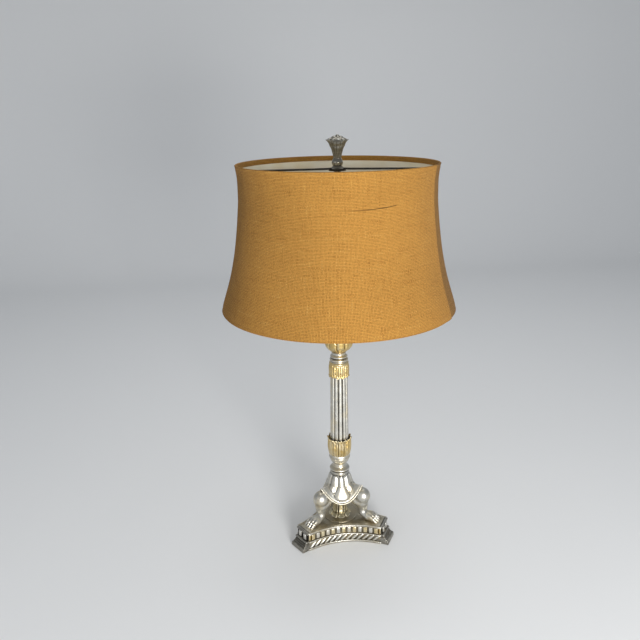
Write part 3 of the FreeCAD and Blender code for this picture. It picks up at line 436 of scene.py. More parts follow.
def burlapFinish(settings):
    finish = Finish("burlap", "cloth")
    axes = finish.node("SeparateXYZ")
    finish.put(axes, {0: finish.place})
    right, up = axes.outputs["X"], axes.outputs["Y"]
    drift = finish.times(finish.minus(finish.noise(finish.place, 45.0, 3.0, 0.5), 0.5), 1.1)
    warp = finish.plus(finish.over(right, settings["warpPitch"] * mm), drift)
    weft = finish.plus(finish.over(up, settings["weftPitch"] * mm), drift)
    crossing = finish.plus(finish.maths("FLOOR", warp), finish.maths("FLOOR", weft))
    warpAbove = finish.maths("MODULO", finish.maths("ABSOLUTE", crossing), 2.0)

    def swell(threads):
        return finish.maths("ABSOLUTE", finish.maths("SINE", finish.times(threads, math.pi)))

    # each yarn has its own tone, which changes slowly along it
    def yarn(threads, along, stretch):
        flat = finish.node("CombineXYZ")
        finish.put(flat, {0: finish.maths("FLOOR", threads), 1: finish.times(along, stretch)})
        return finish.noise(flat.outputs[0], 1.7, 2.0, 0.6)

    tone = finish.node("Mix")
    finish.put(tone, {0: warpAbove, 2: yarn(weft, warp, 0.022), 3: yarn(warp, weft, 0.035)})
    color = finish.ramp(tone.outputs[0], (0.28, settings["dark"]), (0.46, settings["thread"]),
                        (0.60, settings["thread"]), (0.78, settings["pale"]))
    height = finish.maths("MAXIMUM",
                          finish.times(swell(warp), finish.plus(finish.times(warpAbove, 0.45), 0.55)),
                          finish.times(swell(weft), finish.plus(finish.times(warpAbove, -0.45), 1.0)))
    color = finish.mix(finish.ramp(height, (0.34, 1.0), (0.74, 0.0)), color, settings["gap"])
    # fibres, small slubs and broad clouds darken it a little
    for share, scale, rough, dark, light in (
            (0.35, 2600.0, 0.7, (0.3, 0.45), (0.7, 1.0)), (0.8, 420.0, 0.6, (0.32, 0.60), (0.52, 1.0)),
            (0.5, 9.0, 0.5, (0.35, 0.82), (0.65, 1.0))):
        speckle = finish.noise(finish.place, scale, 3.0, rough)
        color = finish.mix(share, color, finish.ramp(speckle, dark, light), "MULTIPLY")

    # painted shade on the cloth past the seam's free edge, darkest in a line along it
    strip = finish.ramp(finish.over(right, settings["seamShade"]), (0.0, 0.30), (0.015, 0.52), (0.03, 0.62),
                        (0.40, 0.70), (1.0, 1.0))
    color = finish.mix(1.0, color, strip, "MULTIPLY")

    along = finish.over(finish.minus(right, settings["slubStart"]), settings["slubLength"])
    climb = finish.maths("POWER", finish.maths("MAXIMUM", along, 0.0), 3.0)
    away = finish.minus(finish.minus(up, settings["slubHeight"]), finish.times(climb, settings["slubClimb"]))
    line = finish.over(finish.maths("ABSOLUTE", away), settings["slubHalf"])
    line = finish.ramp(line, (0.35, 0.9), (1.0, 0.0))
    ends = finish.ramp(along, (0.0, 0.0), (0.35, 0.55), (0.55, 1.0), (0.97, 1.0), (1.0, 0.0))
    color = finish.mix(finish.times(line, ends), color, settings["stain"])
    return finish.shade({"Base Color": color, "Roughness": 0.92, "Sheen Weight": 0.03,
                         "Specular IOR Level": 0.12}, height, 0.7, 0.5)


liningSettings = {"pale": (0.86, 0.81, 0.67), "yellowed": (0.80, 0.69, 0.48)}


def liningFinish(settings):
    finish = Finish("lining")
    clouds = finish.ramp(finish.noise(finish.place, 16.0, 4.0, 0.5), (0.35, 0.0), (0.7, 1.0))
    color = finish.mix(clouds, settings["pale"], settings["yellowed"])
    return finish.shade({"Base Color": color, "Roughness": 0.75}, finish.noise(finish.place, 900.0, 3.0, 0.6),
                        0.4, 0.08)


def glassFinish():
    finish = Finish("bulb_glass")
    frost = finish.noise(finish.place, 700.0, 3.0, 0.6)
    color = finish.mix(frost, (0.90, 0.90, 0.87), (0.97, 0.97, 0.95))
    dull = finish.ramp(frost, (0.3, 0.28), (0.7, 0.42))
    return finish.shade({"Base Color": color, "Transmission Weight": 0.25, "Roughness": dull, "IOR": 1.46})


finishes = {name: leafFinish(name, values) for name, values in leafSettings.items()}
finishes.update({name: plainFinish(name, *values) for name, values in plainSettings.items()})
finishes["bulb_glass"] = glassFinish()
finishes["burlap"] = burlapFinish(burlapSettings)
finishes["lining"] = liningFinish(liningSettings)

# the CAD nodes that stay have no painted shade and wear worked out, so theirs is the plain leaf
slotOf = {row["node"]: row["material_slot"] for row in frame["record"]["subparts"]}
for nodeName, node in frame["nodes"].items():
    slotName = slotOf[nodeName]
    if slotName in leafSettings:
        plain = slotName + "_plain"
        if plain not in finishes:
            finishes[plain] = leafFinish(plain, leafSettings[slotName], withShadeAndWear=False)
        slotName = plain
    node.data.materials.clear()
    node.data.materials.append(finishes[slotName])
print("finishes made")


# Gives a piece its finish, its body, its material slot and the CAD nodes that it takes the place of; a leaf
# piece also gets its painted shade and wear worked out.
def placePiece(piece, body, slotName, *nodes, finish=None):
    piece.data.materials.clear()
    piece.data.materials.append(finishes[finish or slotName])
    if slotName in leafSettings and "shadeAndWear" not in piece.data.color_attributes:
        paintShadeAndWear(piece)
    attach(piece, body)
    if nodes:
        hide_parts(*nodes)


# Turns a closed ring-shaped piece from its profile and puts it in its node's place.
def turnNode(name, node, slotName, sides, *steps, body="base", finish=None, smoothAngle=38):
    rings = profile(*steps)
    piece = turnPiece(name, rings + rings[:1], sides, smoothAngle)
    placePiece(piece, body, slotName, node, finish=finish)


cameraSettings = {
    "place": (-0.1770, -1.1125, 0.790), "heading": -7.37, "down": 17.70, "roll": -0.95,
    "lens": 37.53, "sensor": 36.0,
}


def makeCamera(settings):
    bpy.ops.object.camera_add(location=settings["place"])
    camera = bpy.context.object
    turn = spun(settings["heading"]) @ spun(90 - settings["down"], "X") @ spun(settings["roll"])
    camera.rotation_euler = turn.to_euler()
    camera.data.lens = settings["lens"]
    camera.data.sensor_width = settings["sensor"]
    bpy.context.scene.camera = camera


stageSettings = {
    "width": 12.0, "back": 3.2, "rise": 4.0, "curve": 1.2,
    "floor": (0.80, 0.80, 0.79), "world": (0.62, 0.66, 0.72), "worldStrength": 0.52,
}


# A floor that curves up into a wall behind the lamp.
def makeStage(settings):
    clearSelection()
    bpy.ops.mesh.primitive_plane_add(size=settings["width"], location=(0, 0, 0), enter_editmode=True)
    floor = bpy.context.object
    floor.name = "floor"
    shape = bmesh.from_edit_mesh(floor.data)
    for vert in shape.verts:
        if vert.co.y > 0:
            vert.co.y = settings["back"]
    shape.select_mode = {"EDGE"}
    for edge in shape.edges:
        edge.select = all(v.co.y > settings["back"] - 0.01 for v in edge.verts)
    shape.select_flush_mode()
    bmesh.update_edit_mesh(floor.data)
    bpy.ops.mesh.extrude_region_move(TRANSFORM_OT_translate={"value": (0, 0, settings["rise"])})
    for edge in shape.edges:
        edge.select = all(v.co.y > settings["back"] - 0.01 and v.co.z < 0.01 for v in edge.verts)
    bmesh.update_edit_mesh(floor.data)
    bpy.ops.mesh.bevel(offset=settings["curve"], segments=24, affect="EDGES")
    bpy.ops.object.mode_set(mode="OBJECT")
    smoothen(floor, 80)
    finish = Finish("floor")
    color = finish.mix(finish.noise(finish.place, 2.0), settings["floor"],
                       tuple(c * 0.985 for c in settings["floor"]))
    floor.data.materials.append(finish.shade({"Base Color": color, "Roughness": 0.85}))
    world = bpy.data.worlds.new("studio")
    bpy.context.scene.world = world
    world.use_nodes = True
    world.node_tree.nodes["Background"].inputs["Color"].default_value = (*settings["world"], 1)
    world.node_tree.nodes["Background"].inputs["Strength"].default_value = settings["worldStrength"]


lampSettings = {
    "key": {"place": (0.32, -2.10, 0.50), "size": 0.70, "power": 58.0, "aim": 0.38},
    "fill": {"place": (-1.7, -1.3, 0.9), "size": 1.3, "power": 3.0, "aim": 0.25},
    "top": {"place": (0.2, 0.6, 2.4), "size": 1.8, "power": 15.0, "aim": 0.30},
}


def makeLamps(settings):
    for name, values in settings.items():
        bpy.ops.object.light_add(type="AREA", location=values["place"])
        lamp = bpy.context.object
        lamp.name = name
        lamp.data.size = values["size"]
        lamp.data.energy = values["power"]
        aim = Vector((0, 0, values["aim"])) - Vector(values["place"])
        lamp.rotation_euler = aim.to_track_quat("-Z", "Y").to_euler()


makeCamera(cameraSettings)
makeStage(stageSettings)
makeLamps(lampSettings)
bpy.context.scene.view_settings.view_transform = "Standard"
print("camera, floor and light ready")

shadeSettings = {
    # height above the shade's foot and outer radius, in mm
    "side": [(0, 202.9), (6, 201.9), (16, 198.9), (36, 192.4), (56, 186.3), (76, 181.5), (98, 176.9),
             (118, 173.7), (148, 169.7), (187, 165.8), (222, 165.5), (238, 167.6), (245, 169.1)],
    # how far the edge rolls in from the rim, and how far up its side
    "edge": [(-5.0, 9.0), (-4.9, 1.8), (-3.8, 0.4), (-2.2, 0.0), (-0.8, 0.2), (-0.1, 1.2)],
    "sides": 180, "thick": 0.7, "wave": 0.18, "meanRadius": 176.0, "cutWidth": 1290.0, "cutHeight": 282.0,
    "seam": -34.0, "seamWidth": 9.0, "seamStand": 1.3, "liningInset": (2.3, 2.9),
}


def shadeRadius(height):
    side = shadeSettings["side"]
    for (lowZ, lowR), (highZ, highR) in zip(side, side[1:]):
        if height <= highZ:
            return lowR + (highR - lowR) * (height - lowZ) / (highZ - lowZ)
    return side[-1][1]


# The side's rings, rounded by averaging between the measured ones.
def shadeRings(foot, inset, step, margin):
    tall = shadeSettings["side"][-1][0]
    rings = []
    count = round((tall - 2 * margin) / step)
    for i in range(count + 1):
        height = margin + (tall - 2 * margin) * i / count
        near = [shadeRadius(min(tall, max(0.0, height + shift))) for shift in (-7, -3.5, 0, 3.5, 7)]
        rings.append((sum(near) / len(near) - inset, foot + height))
    return rings


# Lays the weave on the cloth: round from the seam and up from the foot, in metres.
def layCloth(piece, settings, foot):
    mesh = piece.data
    layer = mesh.uv_layers.new(name="cloth")
    for face in mesh.polygons:
        middle = (azimuthOf(face.center) - settings["seam"]) % 360.0
        for index in face.loop_indices:
            place = mesh.vertices[mesh.loops[index].vertex_index].co
            turn = azimuthOf(place) - settings["seam"]
            turn = middle + (turn - middle + 180.0) % 360.0 - 180.0
            layer.data[index].uv = (math.radians(turn) * settings["meanRadius"] * mm, place.z - foot * mm)


def makeShade(settings):
    foot, top = span("shade_cover")
    # the cloth goes over each hoop and ends in a narrow fold inside
    rings = [(shadeRadius(0.0) + out, foot + up) for out, up in settings["edge"]]
    rings += shadeRings(foot, 0.0, 6.0, 2.4)
    rings += [(settings["side"][-1][1] + out, top - up) for out, up in settings["edge"][::-1]]
    cover = turnPiece("shadeCloth", rings, settings["sides"], smoothAngle=80)
    seam = settings["seam"]
    seamReach = math.degrees(settings["seamWidth"] / 180.0) + 2.5

    # the free edge of the overlap stands proud and drops sharply on its right
    def seamed(place):
        turn = azimuthOf(place)
        offset = (turn - seam + 180.0) % 360.0 - 180.0
        lift = 0.0
        if -seamReach < offset < 0.6:
            offset = min(offset, 0.0)
            lift = settings["seamStand"] * (1.0 - abs(offset) / seamReach) ** 0.5
            if offset > -1.2:
                turn = seam - 0.12
        elif 0.6 <= offset < 2.6:
            turn = seam + 0.12
        lift += settings["wave"] * (math.sin(math.radians(turn * 5 + place.z * 0.9)) * 0.6
                                    + math.sin(math.radians(turn * 11 - place.z * 1.7)) * 0.4 - 1.0)
        radius = radiusOf(place) + lift
        return (radius * math.cos(math.radians(turn)), radius * math.sin(math.radians(turn)), place.z)

    reshape(cover, seamed)
    layCloth(cover, settings, foot)
    finishWith(cover, "SOLIDIFY", thickness=settings["thick"] * mm, offset=-1.0)
    smoothen(cover, 50)
    placePiece(cover, "shade", "burlap", "shade_cover")

    outer, inner = (shadeRings(foot, inset, 8.0, 2.5) for inset in settings["liningInset"])
    lining = turnPiece("shadeLining", inner + outer[::-1] + inner[:1], 120, smoothAngle=60)
    placePiece(lining, "shade", "lining", "shade_lining")


makeShade(shadeSettings)
print("shade made")


def makeTurnedColumn():
    z, top = span("body_ring")
    turnNode("bodyRing", "body_ring", "silver_leaf", 96,
             (bore, z), (15.6, z), (16.8, z + 0.8, 0.2), (17.0, z + 3.2, 0.9), (16.0, z + 4.4, 0.2),
             (15.2, z + 4.8), (16.0, z + 5.4), (15.6, z + 11.6, 3.1), (14.4, z + 12.6),
             (13.2, z + 14.6, -0.4), (12.0, top, -0.4), (bore, top))
    z, top = span("lower_cup")
    turnNode("lowerCup", "lower_cup", "silver_leaf", 96,
             (bore, z), (12.0, z), (13.0, z + 1.6, -0.1), (18.6, z + 12.4, 1.2), (19.6, z + 13.6, 0.2),
             (19.7, z + 15.4, 0.3), (19.0, z + 16.2), (19.0, top - 0.8), (18.4, top), (bore, top))
    z, top = span("column_capital")
    turnNode("columnCapital", "column_capital", "silver_leaf", 96,
             (bore, z), (15.0, z), (14.4, z + 1.6, -0.2), (15.0, z + 2.2), (14.6, z + 7.4, 2.1),
             (14.0, z + 8.2, -0.2), (14.6, z + 8.8), (14.0, z + 13.0, 1.5), (13.2, z + 13.8),
             (12.6, z + 16.0, -0.4), (13.4, top, -0.3), (bore, top))


makeTurnedColumn()

# radii in mm; crown is a ridge's share of the pitch, and shoulder how far down its side the flute starts
shaftSettings = {
    "ridges": 12, "foot": 17.5, "head": 15.7, "levels": 28, "depth": 2.6, "crown": 0.74, "shoulder": 0.62,
}


def makeShaft(settings):
    low, high = span("fluted_shaft")
    foot, head, levels = settings["foot"], settings["head"], settings["levels"]
    rings = [(bore, low)]
    rings += [(foot + (head - foot) * i / levels, low + (high - low) * i / levels) for i in range(levels + 1)]
    rings += [(bore, high), (bore, low)]
    shaft = turnPiece("flutedShaft", rings, settings["ridges"] * 12, smoothAngle=60)

    # flutes sink between the rounded ridges
    def fluted(place):
        if radiusOf(place) < head - 1.0:
            return place
        across = acrossOf(place, settings["ridges"])
        crown, shoulder = settings["crown"], settings["shoulder"]
        if across < crown:
            sink = shoulder * (1.0 - math.sqrt(1.0 - (across / crown) ** 2))
        else:
            sink = shoulder + (1.0 - shoulder) * math.sin((across - crown) / (1.0 - crown) * math.pi / 2)
        return drawnIn(place, settings["depth"] * sink)

    reshape(shaft, fluted)
    smoothen(shaft, 60)
    placePiece(shaft, "base", "silver_leaf", "fluted_shaft")


makeShaft(shaftSettings)

collarSettings = {
    "lowerLeaves": {"count": 12, "start": 15.0, "length": 34.6, "width": 11.0, "foot": 17.8, "belly": 20.2,
                    "neck": 19.2, "flare": 3.4, "rib": 2.2, "thick": 0.9},
    "lowerBackLeaves": {"start": 30.0, "length": 33.6, "foot": 17.2, "belly": 19.6, "neck": 18.4,
                        "flare": 2.4},
    "upperLeaves": {"count": 12, "start": 15.0, "length": 24.0, "width": 9.0, "foot": 16.3, "belly": 16.9,
                    "neck": 16.5, "flare": 2.2, "rib": 1.6, "thick": 0.8},
    "upperBackLeaves": {"start": 0.0, "length": 23.2, "foot": 16.0, "belly": 16.6, "neck": 16.2,
                        "flare": 1.4},
}


# One leaf: a grid bent round the stem, ribbed down its middle, with a tip that turns outwards.
def leafPiece(settings):
    clearSelection()
    bpy.ops.mesh.primitive_grid_add(x_subdivisions=12, y_subdivisions=16, size=1)
    leaf = bpy.context.object
    for vert in leaf.data.vertices:
        side = vert.co.x * 2
        along = vert.co.y + 0.5
        if along < 0.72:
            spread = 0.80 + 0.22 * math.sin(math.pi * min(1.0, along * 1.25))
        else:
            spread = 0.965 * math.cos((along - 0.72) / 0.28 * math.pi / 2) ** 0.75 + 0.03
        lobes = 1.0 + 0.07 * math.cos(along * 26.0)
        line = settings["foot"] + (settings["neck"] - settings["foot"]) * along
        belly = math.sin(math.pi * min(1.0, along * 1.15))
        line += (settings["belly"] - (settings["foot"] + settings["neck"]) / 2) * belly
        line += settings["flare"] * max(0.0, (along - 0.74) / 0.26) ** 1.6
        # two rounded halves with a sharp groove down the middle, flat at the very tip
        rib = settings["rib"] * (math.sin(math.pi * abs(side) ** 0.8) ** 0.6 - 0.4)
        rib *= min(1.0, (1.04 - along) * 4.0)
        turn = side * settings["width"] * spread * lobes / 2 / line
        radius = line + rib
        vert.co = Vector((radius * math.cos(turn), radius * math.sin(turn), along * settings["length"])) * mm
    finishWith(leaf, "SOLIDIFY", thickness=settings["thick"] * mm, offset=1.0)
    finishWith(leaf, "SUBSURF", levels=1, render_levels=1)
    pointOutwards(leaf)
    return leaf


def leafRow(name, settings, foot, upsideDown=False):
    leaf = leafPiece(settings)
    if upsideDown:
        leaf.data.transform(spun(180.0, "X"))
    leaf.data.transform(shifted(0, 0, foot))
    # paints shade and wear on one leaf before it is copied
    paintShadeAndWear(leaf)
    leaves = copiesOf(leaf, roundAxis(settings["count"], settings["start"]), name)
    smoothen(leaves, 60)
    placePiece(leaves, "base", "gold_leaf")


def makeCollars(settings):
    seat, head = span("fluted_shaft")
    low, high = span("lower_leaf_collar")
    turnNode("lowerCollarCore", "lower_leaf_collar", "gold_leaf", 96,
             (bore, low), (17.2, low), (18.2, low + 1.4, 0.5), (19.2, high - 11, 1.2), (18.2, high - 8),
             (17.7, high - 9), (17.7, seat), (bore, seat))
    leafRow("lowerLeaves", settings["lowerLeaves"], low + 0.5)
    leafRow("lowerBackLeaves", {**settings["lowerLeaves"], **settings["lowerBackLeaves"]}, low + 0.6)
    low, high = span("upper_leaf_collar")
    turnNode("upperCollarCore", "upper_leaf_collar", "gold_leaf", 96,
             (bore, high), (16.6, high), (17.6, high - 2.0, -0.4), (17.4, high - 4.4), (16.2, low + 9),
             (15.9, low + 10), (15.9, head), (bore, head))
    leafRow("upperLeaves", settings["upperLeaves"], high - 4.0, True)
    leafRow("upperBackLeaves", {**settings["upperLeaves"], **settings["upperBackLeaves"]}, high - 4.0, True)


makeCollars(collarSettings)
print("column made")

cupSettings = {"petals": 10, "foot": 13.2, "rim": 25.6, "height": 26.0, "stand": 3.0}


def makeCup(settings):
    low, high = span("candle_cup")
    foot, rim = settings["foot"], settings["rim"]
    rings = profile((bore, low), (foot - 1.0, low), (foot, low + 1.4, 0.3), (20.8, low + 7.6, 0.8),
                    (24.9, low + 17, 1.2), (rim, high - 1.2, 0.2), (rim - 0.5, high), (rim - 2.4, high),
                    (21.0, low + 14.0, -1.4), (8.0, low + 6.4, -1.0), (bore, low + 6.4), (bore, low),
                    parts=12)
    cup = turnPiece("candleCup", rings, settings["petals"] * 16, smoothAngle=60)

    # round-topped petals that stand off the bowl, with a raised edge
    def petalled(place):
        along = max(0.0, (place.z - low) / settings["height"])
        outer = foot + (rim - foot) * along ** 0.6 - 3.0
        if radiusOf(place) < outer or along < 0.05:
            return place
        across = acrossOf(place, settings["petals"])
        arch = 1.02 - 0.34 * across ** 2.6
        inside = 1.0 if along < arch else max(0.0, 1.0 - (along - arch) / 0.06)
        puff = settings["stand"] * (1.0 - across ** 3) ** 0.5 * inside * min(1.0, along * 5.0)
        if along < arch:
            puff += 0.5 * math.exp(-((arch - along) / 0.06) ** 2)
        return drawnIn(place, settings["stand"] * 0.9 - puff)

    reshape(cup, petalled)
    placePiece(cup, "base", "gold_leaf", "candle_cup")
    low, high = span("cup_cover")
    turnNode("cupCover", "cup_cover", "brass", 96,
             (bore, low + 3), (21.0, low), (25.0, low), (25.0, low + 0.9), (24.2, low + 1.2),
             (11.0, high, 1.2), (bore, high))
    low, high = span("check_ring")
    turnNode("checkRing", "check_ring", "brass", 64, (bore, low), (9.6, low), (9.6, high, 1.0), (bore, high))


makeCup(cupSettings)

bellSettings = {
    "lobes": 9, "depth": 3.6, "archTop": 126.0, "archHeight": 7.0,
    # radius and height down the side, and the places of the neck above it, in mm
    "side": [(31.0, 84.0), (28.6, 92.0), (26.6, 99.0), (24.8, 105.0), (23.0, 111.0), (21.2, 117.0),
             (19.4, 122.0), (17.6, 125.6)],
    "neck": [(16.4, 126.6, 0.2), (16.0, 127.2, 0.2)],
}


def makeBell(settings):
    low, high = span("bell_body")
    rings = profile((bore, low), (12.9, low), (12.4, low + 5.5, -0.3), (24.0, low + 8))
    side, neck = settings["side"], settings["neck"]
    rings += [(lowR + (highR - lowR) * i / 5, lowZ + (highZ - lowZ) * i / 5)
              for (lowR, lowZ), (highR, highZ) in zip(side, side[1:]) for i in range(5)]
    rings += profile(side[-1], *neck, (14.6, high, -0.1), (bore, high), (bore, low))
    bell = turnPiece("bellBody", rings, settings["lobes"] * 20, smoothAngle=60)

    # each lobe is a rounded strip with an arched top, and a fine step on either side
    def lobed(place):
        if radiusOf(place) < 14.0 or place.z < low + 7.6 or place.z > neck[0][1]:
            return place
        across = acrossOf(place, settings["lobes"])
        arch = settings["archTop"] - settings["archHeight"] * (1 - math.sqrt(max(0.0, 1 - across ** 2)))
        inside = min(1.0, max(0.0, (arch - place.z) / 1.6 + 0.5))
        crown = math.sqrt(max(0.0, 1.0 - (across / 0.82) ** 2))
        edge = math.exp(-((across - 0.90) / 0.05) ** 2) * 0.18
        return drawnIn(place, settings["depth"] * (0.62 - (crown + edge) * inside))

    reshape(bell, lobed)
    placePiece(bell, "base", "silver_leaf", "bell_body")


skirtSettings = {
    "innerRadius": 22.6, "innerHeight": 106.0,
    # radius and height of the rim, in the middle of a side and at a point
    "middle": (35.8, 77.4), "point": (45.0, 106.0),
    "shieldEnd": 0.86, "shieldStand": 3.4, "wing": (30.0, 59.0), "wingStand": 2.8, "thick": 1.8,
    # degrees from the middle of a side, share of the way down, and radius of each small scroll
    "scrolls": ((32.0, 0.56, 2.2), (50.0, 0.34, 1.8)),
}


def sideOffset(azimuth):
    return (azimuth + 90.0 + 60.0) % 120.0 - 60.0


# A point of the skirt, in mm: down is 0 at the body and 1 at its rim.
def skirtPoint(azimuth, down, out=0.0, settings=skirtSettings):
    down = max(0.0, down)
    share = (abs(sideOffset(azimuth)) / 60.0) ** 2.2
    rimRadius, rimHeight = (start + (end - start) * share
                            for start, end in zip(settings["middle"], settings["point"]))
    radius = settings["innerRadius"] + (rimRadius - settings["innerRadius"]) * down ** 1.5 + out
    fall = 0.65 * down + 0.35 * down * down * (3 - 2 * down)
    height = settings["innerHeight"] + (rimHeight - settings["innerHeight"]) * fall
    turn = math.radians(azimuth)
    return Vector((radius * math.cos(turn), radius * math.sin(turn), height + 0.35 * out))


# How far the front shield reaches to either side on the skirt, in degrees, until it ends in a round foot.
def shieldReach(down, end):
    if down > end:
        return 0.0
    if down < 0.52:
        return 17.0 + 24.0 * down
    return 29.5 * (max(0.0, 1.0 - ((down - 0.52) / (end - 0.52)) ** 2.2)) ** 0.6


def makeSkirt(settings):
    clearSelection()
    bpy.ops.mesh.primitive_grid_add(x_subdivisions=240, y_subdivisions=24, size=1)
    skirt = bpy.context.object
    end = settings["shieldEnd"]
    wingStart, wingEnd = settings["wing"]
    for vert in skirt.data.vertices:
        azimuth = vert.co.x * 360.0 - 90.0
        down = vert.co.y + 0.5
        offset = abs(sideOffset(azimuth))
        reach = shieldReach(down, end)
        if offset < reach:
            out = settings["shieldStand"] * (1.0 - (offset / reach) ** 2.4) ** 0.5
            out *= min(1.0, (end - down) * 6.0)
        else:
            out = -1.4 * math.exp(-((offset - reach) / 2.6) ** 2) * min(1.0, max(0.0, (0.92 - down) * 8.0))
        # the lobes beside it end in rounded feet
        if wingStart < offset < wingEnd:
            wing = (offset - wingStart) / (wingEnd - wingStart)
            foot = 0.62 - 0.30 * wing
            if down < foot:
                out += settings["wingStand"] * math.sin(math.pi * wing) ** 0.6 * min(1.0, (foot - down) * 9.0)
        if down > 0.88:
            out -= 1.0 * math.sin((down - 0.88) / 0.12 * math.pi)
        vert.co = skirtPoint(azimuth, down, out) * mm
    pointOutwards(skirt, 0.01)
    finishWith(skirt, "SOLIDIFY", thickness=settings["thick"] * mm, offset=0.0)
    smoothen(skirt, 60)
    placePiece(skirt, "base", "silver_leaf", "apron")

    turns = [i * 2.0 for i in range(180)]
    trim = [wirePiece("rim", [skirtPoint(turn, 1.0, 0.3) for turn in turns], 1.15, closed=True, sides=4),
            wirePiece("line", [skirtPoint(turn, 0.87, 0.5) for turn in turns], 0.75, closed=True, sides=3)]
    for middle, way, (away, down, size) in [(middle, way, scroll) for middle in (-90.0, 30.0, 150.0)
                                            for way in (-1, 1) for scroll in settings["scrolls"]]:
        place = skirtPoint(middle + way * away, down, 1.2)
        trim.append(blob(place, (size, size, size), fine=16))
        tail = [skirtPoint(middle + way * (away + step * 3.4), down - step * 0.10, 0.9) for step in (1, 2, 3)]
        trim.append(wirePiece("scroll", [place] + tail, 1.2, [1, 0.9, 0.7, 0.3]))
    placePiece(joinPieces(trim, "skirtRim"), "base", "silver_leaf", finish="plinth_metal")


legSettings = {
    # place, size and lean of the swellings of the thigh, the knee, the shank and the foot
    "flesh": [((28, 0, 85), (18, 11.0, 13), 8), ((27, 0, 77), (13, 11.5, 8.5), 8),
              ((45.5, 0, 84.5), (15.6, 14.4, 16.2), 0), ((37, 0, 74), (17.0, 12.8, 12.5), 20),
              ((43.5, 0, 72), (14.2, 12.2, 14), -10), ((43.6, 0, 65), (11.4, 10.4, 12), -4),
              ((44.4, 0, 57), (9.0, 8.6, 10), 0), ((46, 0, 50), (8.6, 8.6, 9.4), 0),
              ((51, 0, 46.4), (11.4, 9.6, 7.8), 18), ((59, 0, 43.4), (12.5, 11.6, 8.0), 14)],
    "shin": ((54.5, 0, 66), (2.6, 4.4, 10.0), 8),
    # a toe from its root to its claw: how far out, spread, height, size and lean
    "toe": [(65.0, 0.96, 44.6, (8.4, 2.9, 5.2), 20), (71.5, 1.02, 41.4, (5.4, 3.0, 5.2), 25),
            (76.0, 1.04, 38.8, (3.6, 2.4, 2.9), 20), (78.6, 1.05, 37.9, (2.6, 1.0, 1.5), 15)],
    "toes": 4, "pawWidth": 23.0, "toeSplay": 5.0, "outerToeBack": 1.7,
    "fleshVoxel": 1.1, "voxel": 0.75, "floor": 36.0,
}


# Joins pieces under one skin and softens it.
def blended(pieces, voxel, rounds):
    whole = joinPieces(pieces, "leg")
    finishWith(whole, "REMESH", mode="VOXEL", voxel_size=voxel * mm)
    finishWith(whole, "SMOOTH", factor=0.5, iterations=rounds)
    return whole


# The thigh, the knee and the shank flow into one another; the shin and the toes stay crisp.
def legPiece(settings):
    crisp = [blended([blob(*values) for values in settings["flesh"]], settings["fleshVoxel"], 14)]
    crisp.append(blob(*settings["shin"]))
    pitch = settings["pawWidth"] / settings["toes"]
    for i in range(settings["toes"]):
        place = i - (settings["toes"] - 1) / 2
        back = abs(place) * settings["outerToeBack"]
        for reach, spread, height, size, lean in settings["toe"]:
            at = (reach - back, place * pitch * spread, height)
            crisp.append(blob(at, size, lean, place * settings["toeSplay"]))
    leg = blended(crisp, settings["voxel"], 3)
    # nothing of a paw goes below the plinth's top
    reshape(leg, lambda place: (place.x, place.y, max(place.z, settings["floor"])))
    # paints shade and wear into the leg
    paintShadeAndWear(leg)
    return leg


def makeLegs(settings):
    leg = legPiece(settings)
    for side, turn in (("left", -150.0), ("right", -30.0), ("rear", 90.0)):
        copy = copyOf(leg, spun(turn))
        copy.name = "lionLeg." + side
        smoothen(copy, 80)
        placePiece(copy, "base", "silver_leaf", "leg_" + side)
    bpy.data.objects.remove(leg)


makeBell(bellSettings)
makeSkirt(skirtSettings)
makeLegs(legSettings)
print("body and legs made")

balusterSettings = {"leaves": 8, "tip": 21.6, "waist": 13.4, "depth": 2.0}


def makeBaluster(settings):
    low, high = span("foot_baluster")
    turnNode("footBaluster", "foot_baluster", "gold_leaf", 96,
             (bore, low), (13.6, low), (13.0, low + 1.2, 0.2), (8.4, low + 6, -0.8), (7.0, low + 16, -0.3),
             (8.0, low + 26, 0.1), (10.8, high - 1.5, -0.4), (11.0, high), (bore, high), smoothAngle=50)
    waist, tip = settings["waist"], settings["tip"]
    rings = profile((waist + 1.2, high - 2.0), (waist + 0.4, high - 9.0, -0.1), (waist, low + 14.0, -0.1),
                    (waist + 0.4, low + 7.0, -0.1), (14.6, low + 1.0, -0.4), (tip, low - 4.6, -0.6),
                    (tip - 0.2, low - 6.2, 0.5), (13.6, low - 1.0, 0.5), (waist - 0.8, low + 6.2, 0.5),
                    (waist - 1.2, low + 14.0, 0.1), (waist - 0.8, high - 9.0), (waist, high - 2.0))
    leaves = turnPiece("balusterLeaves", rings + rings[:1], settings["leaves"] * 24, smoothAngle=70)

    # each leaf has a raised edge that runs round its tip, with a deep gap to the next one
    def leaved(place):
        across = acrossOf(place, settings["leaves"])
        spread = max(0.0, (radiusOf(place) - waist - 1.0) / (tip - waist - 1.0))
        edge = max(0.0, 1.0 - abs(across - 0.66) / 0.24, (spread - 0.72) / 0.28)
        gap = max(0.0, (across - 0.80) / 0.20)
        depth = 1.1 * (1.0 - min(1.0, edge)) ** 1.4 + settings["depth"] * gap ** 0.8 * (1.0 - 0.5 * spread)
        return drawnIn(place, depth + 3.4 * spread ** 2 * across ** 3, 1.6 * spread * across ** 2)

    reshape(leaves, leaved)
    placePiece(leaves, "base", "gold_leaf", finish="pale_gold")


makeBaluster(balusterSettings)

finialSettings = {
    "bore": 3.2, "flutes": 12, "rim": 19.4, "waist": 6.4,
    # rows of petals that rise to the bead: radius, height, length, count, start and lean
    "petals": [(12.4, 0.6, 4.8, 10, 18.0, 20.0), (7.6, 3.2, 4.0, 8, 0.0, 32.0)],
}


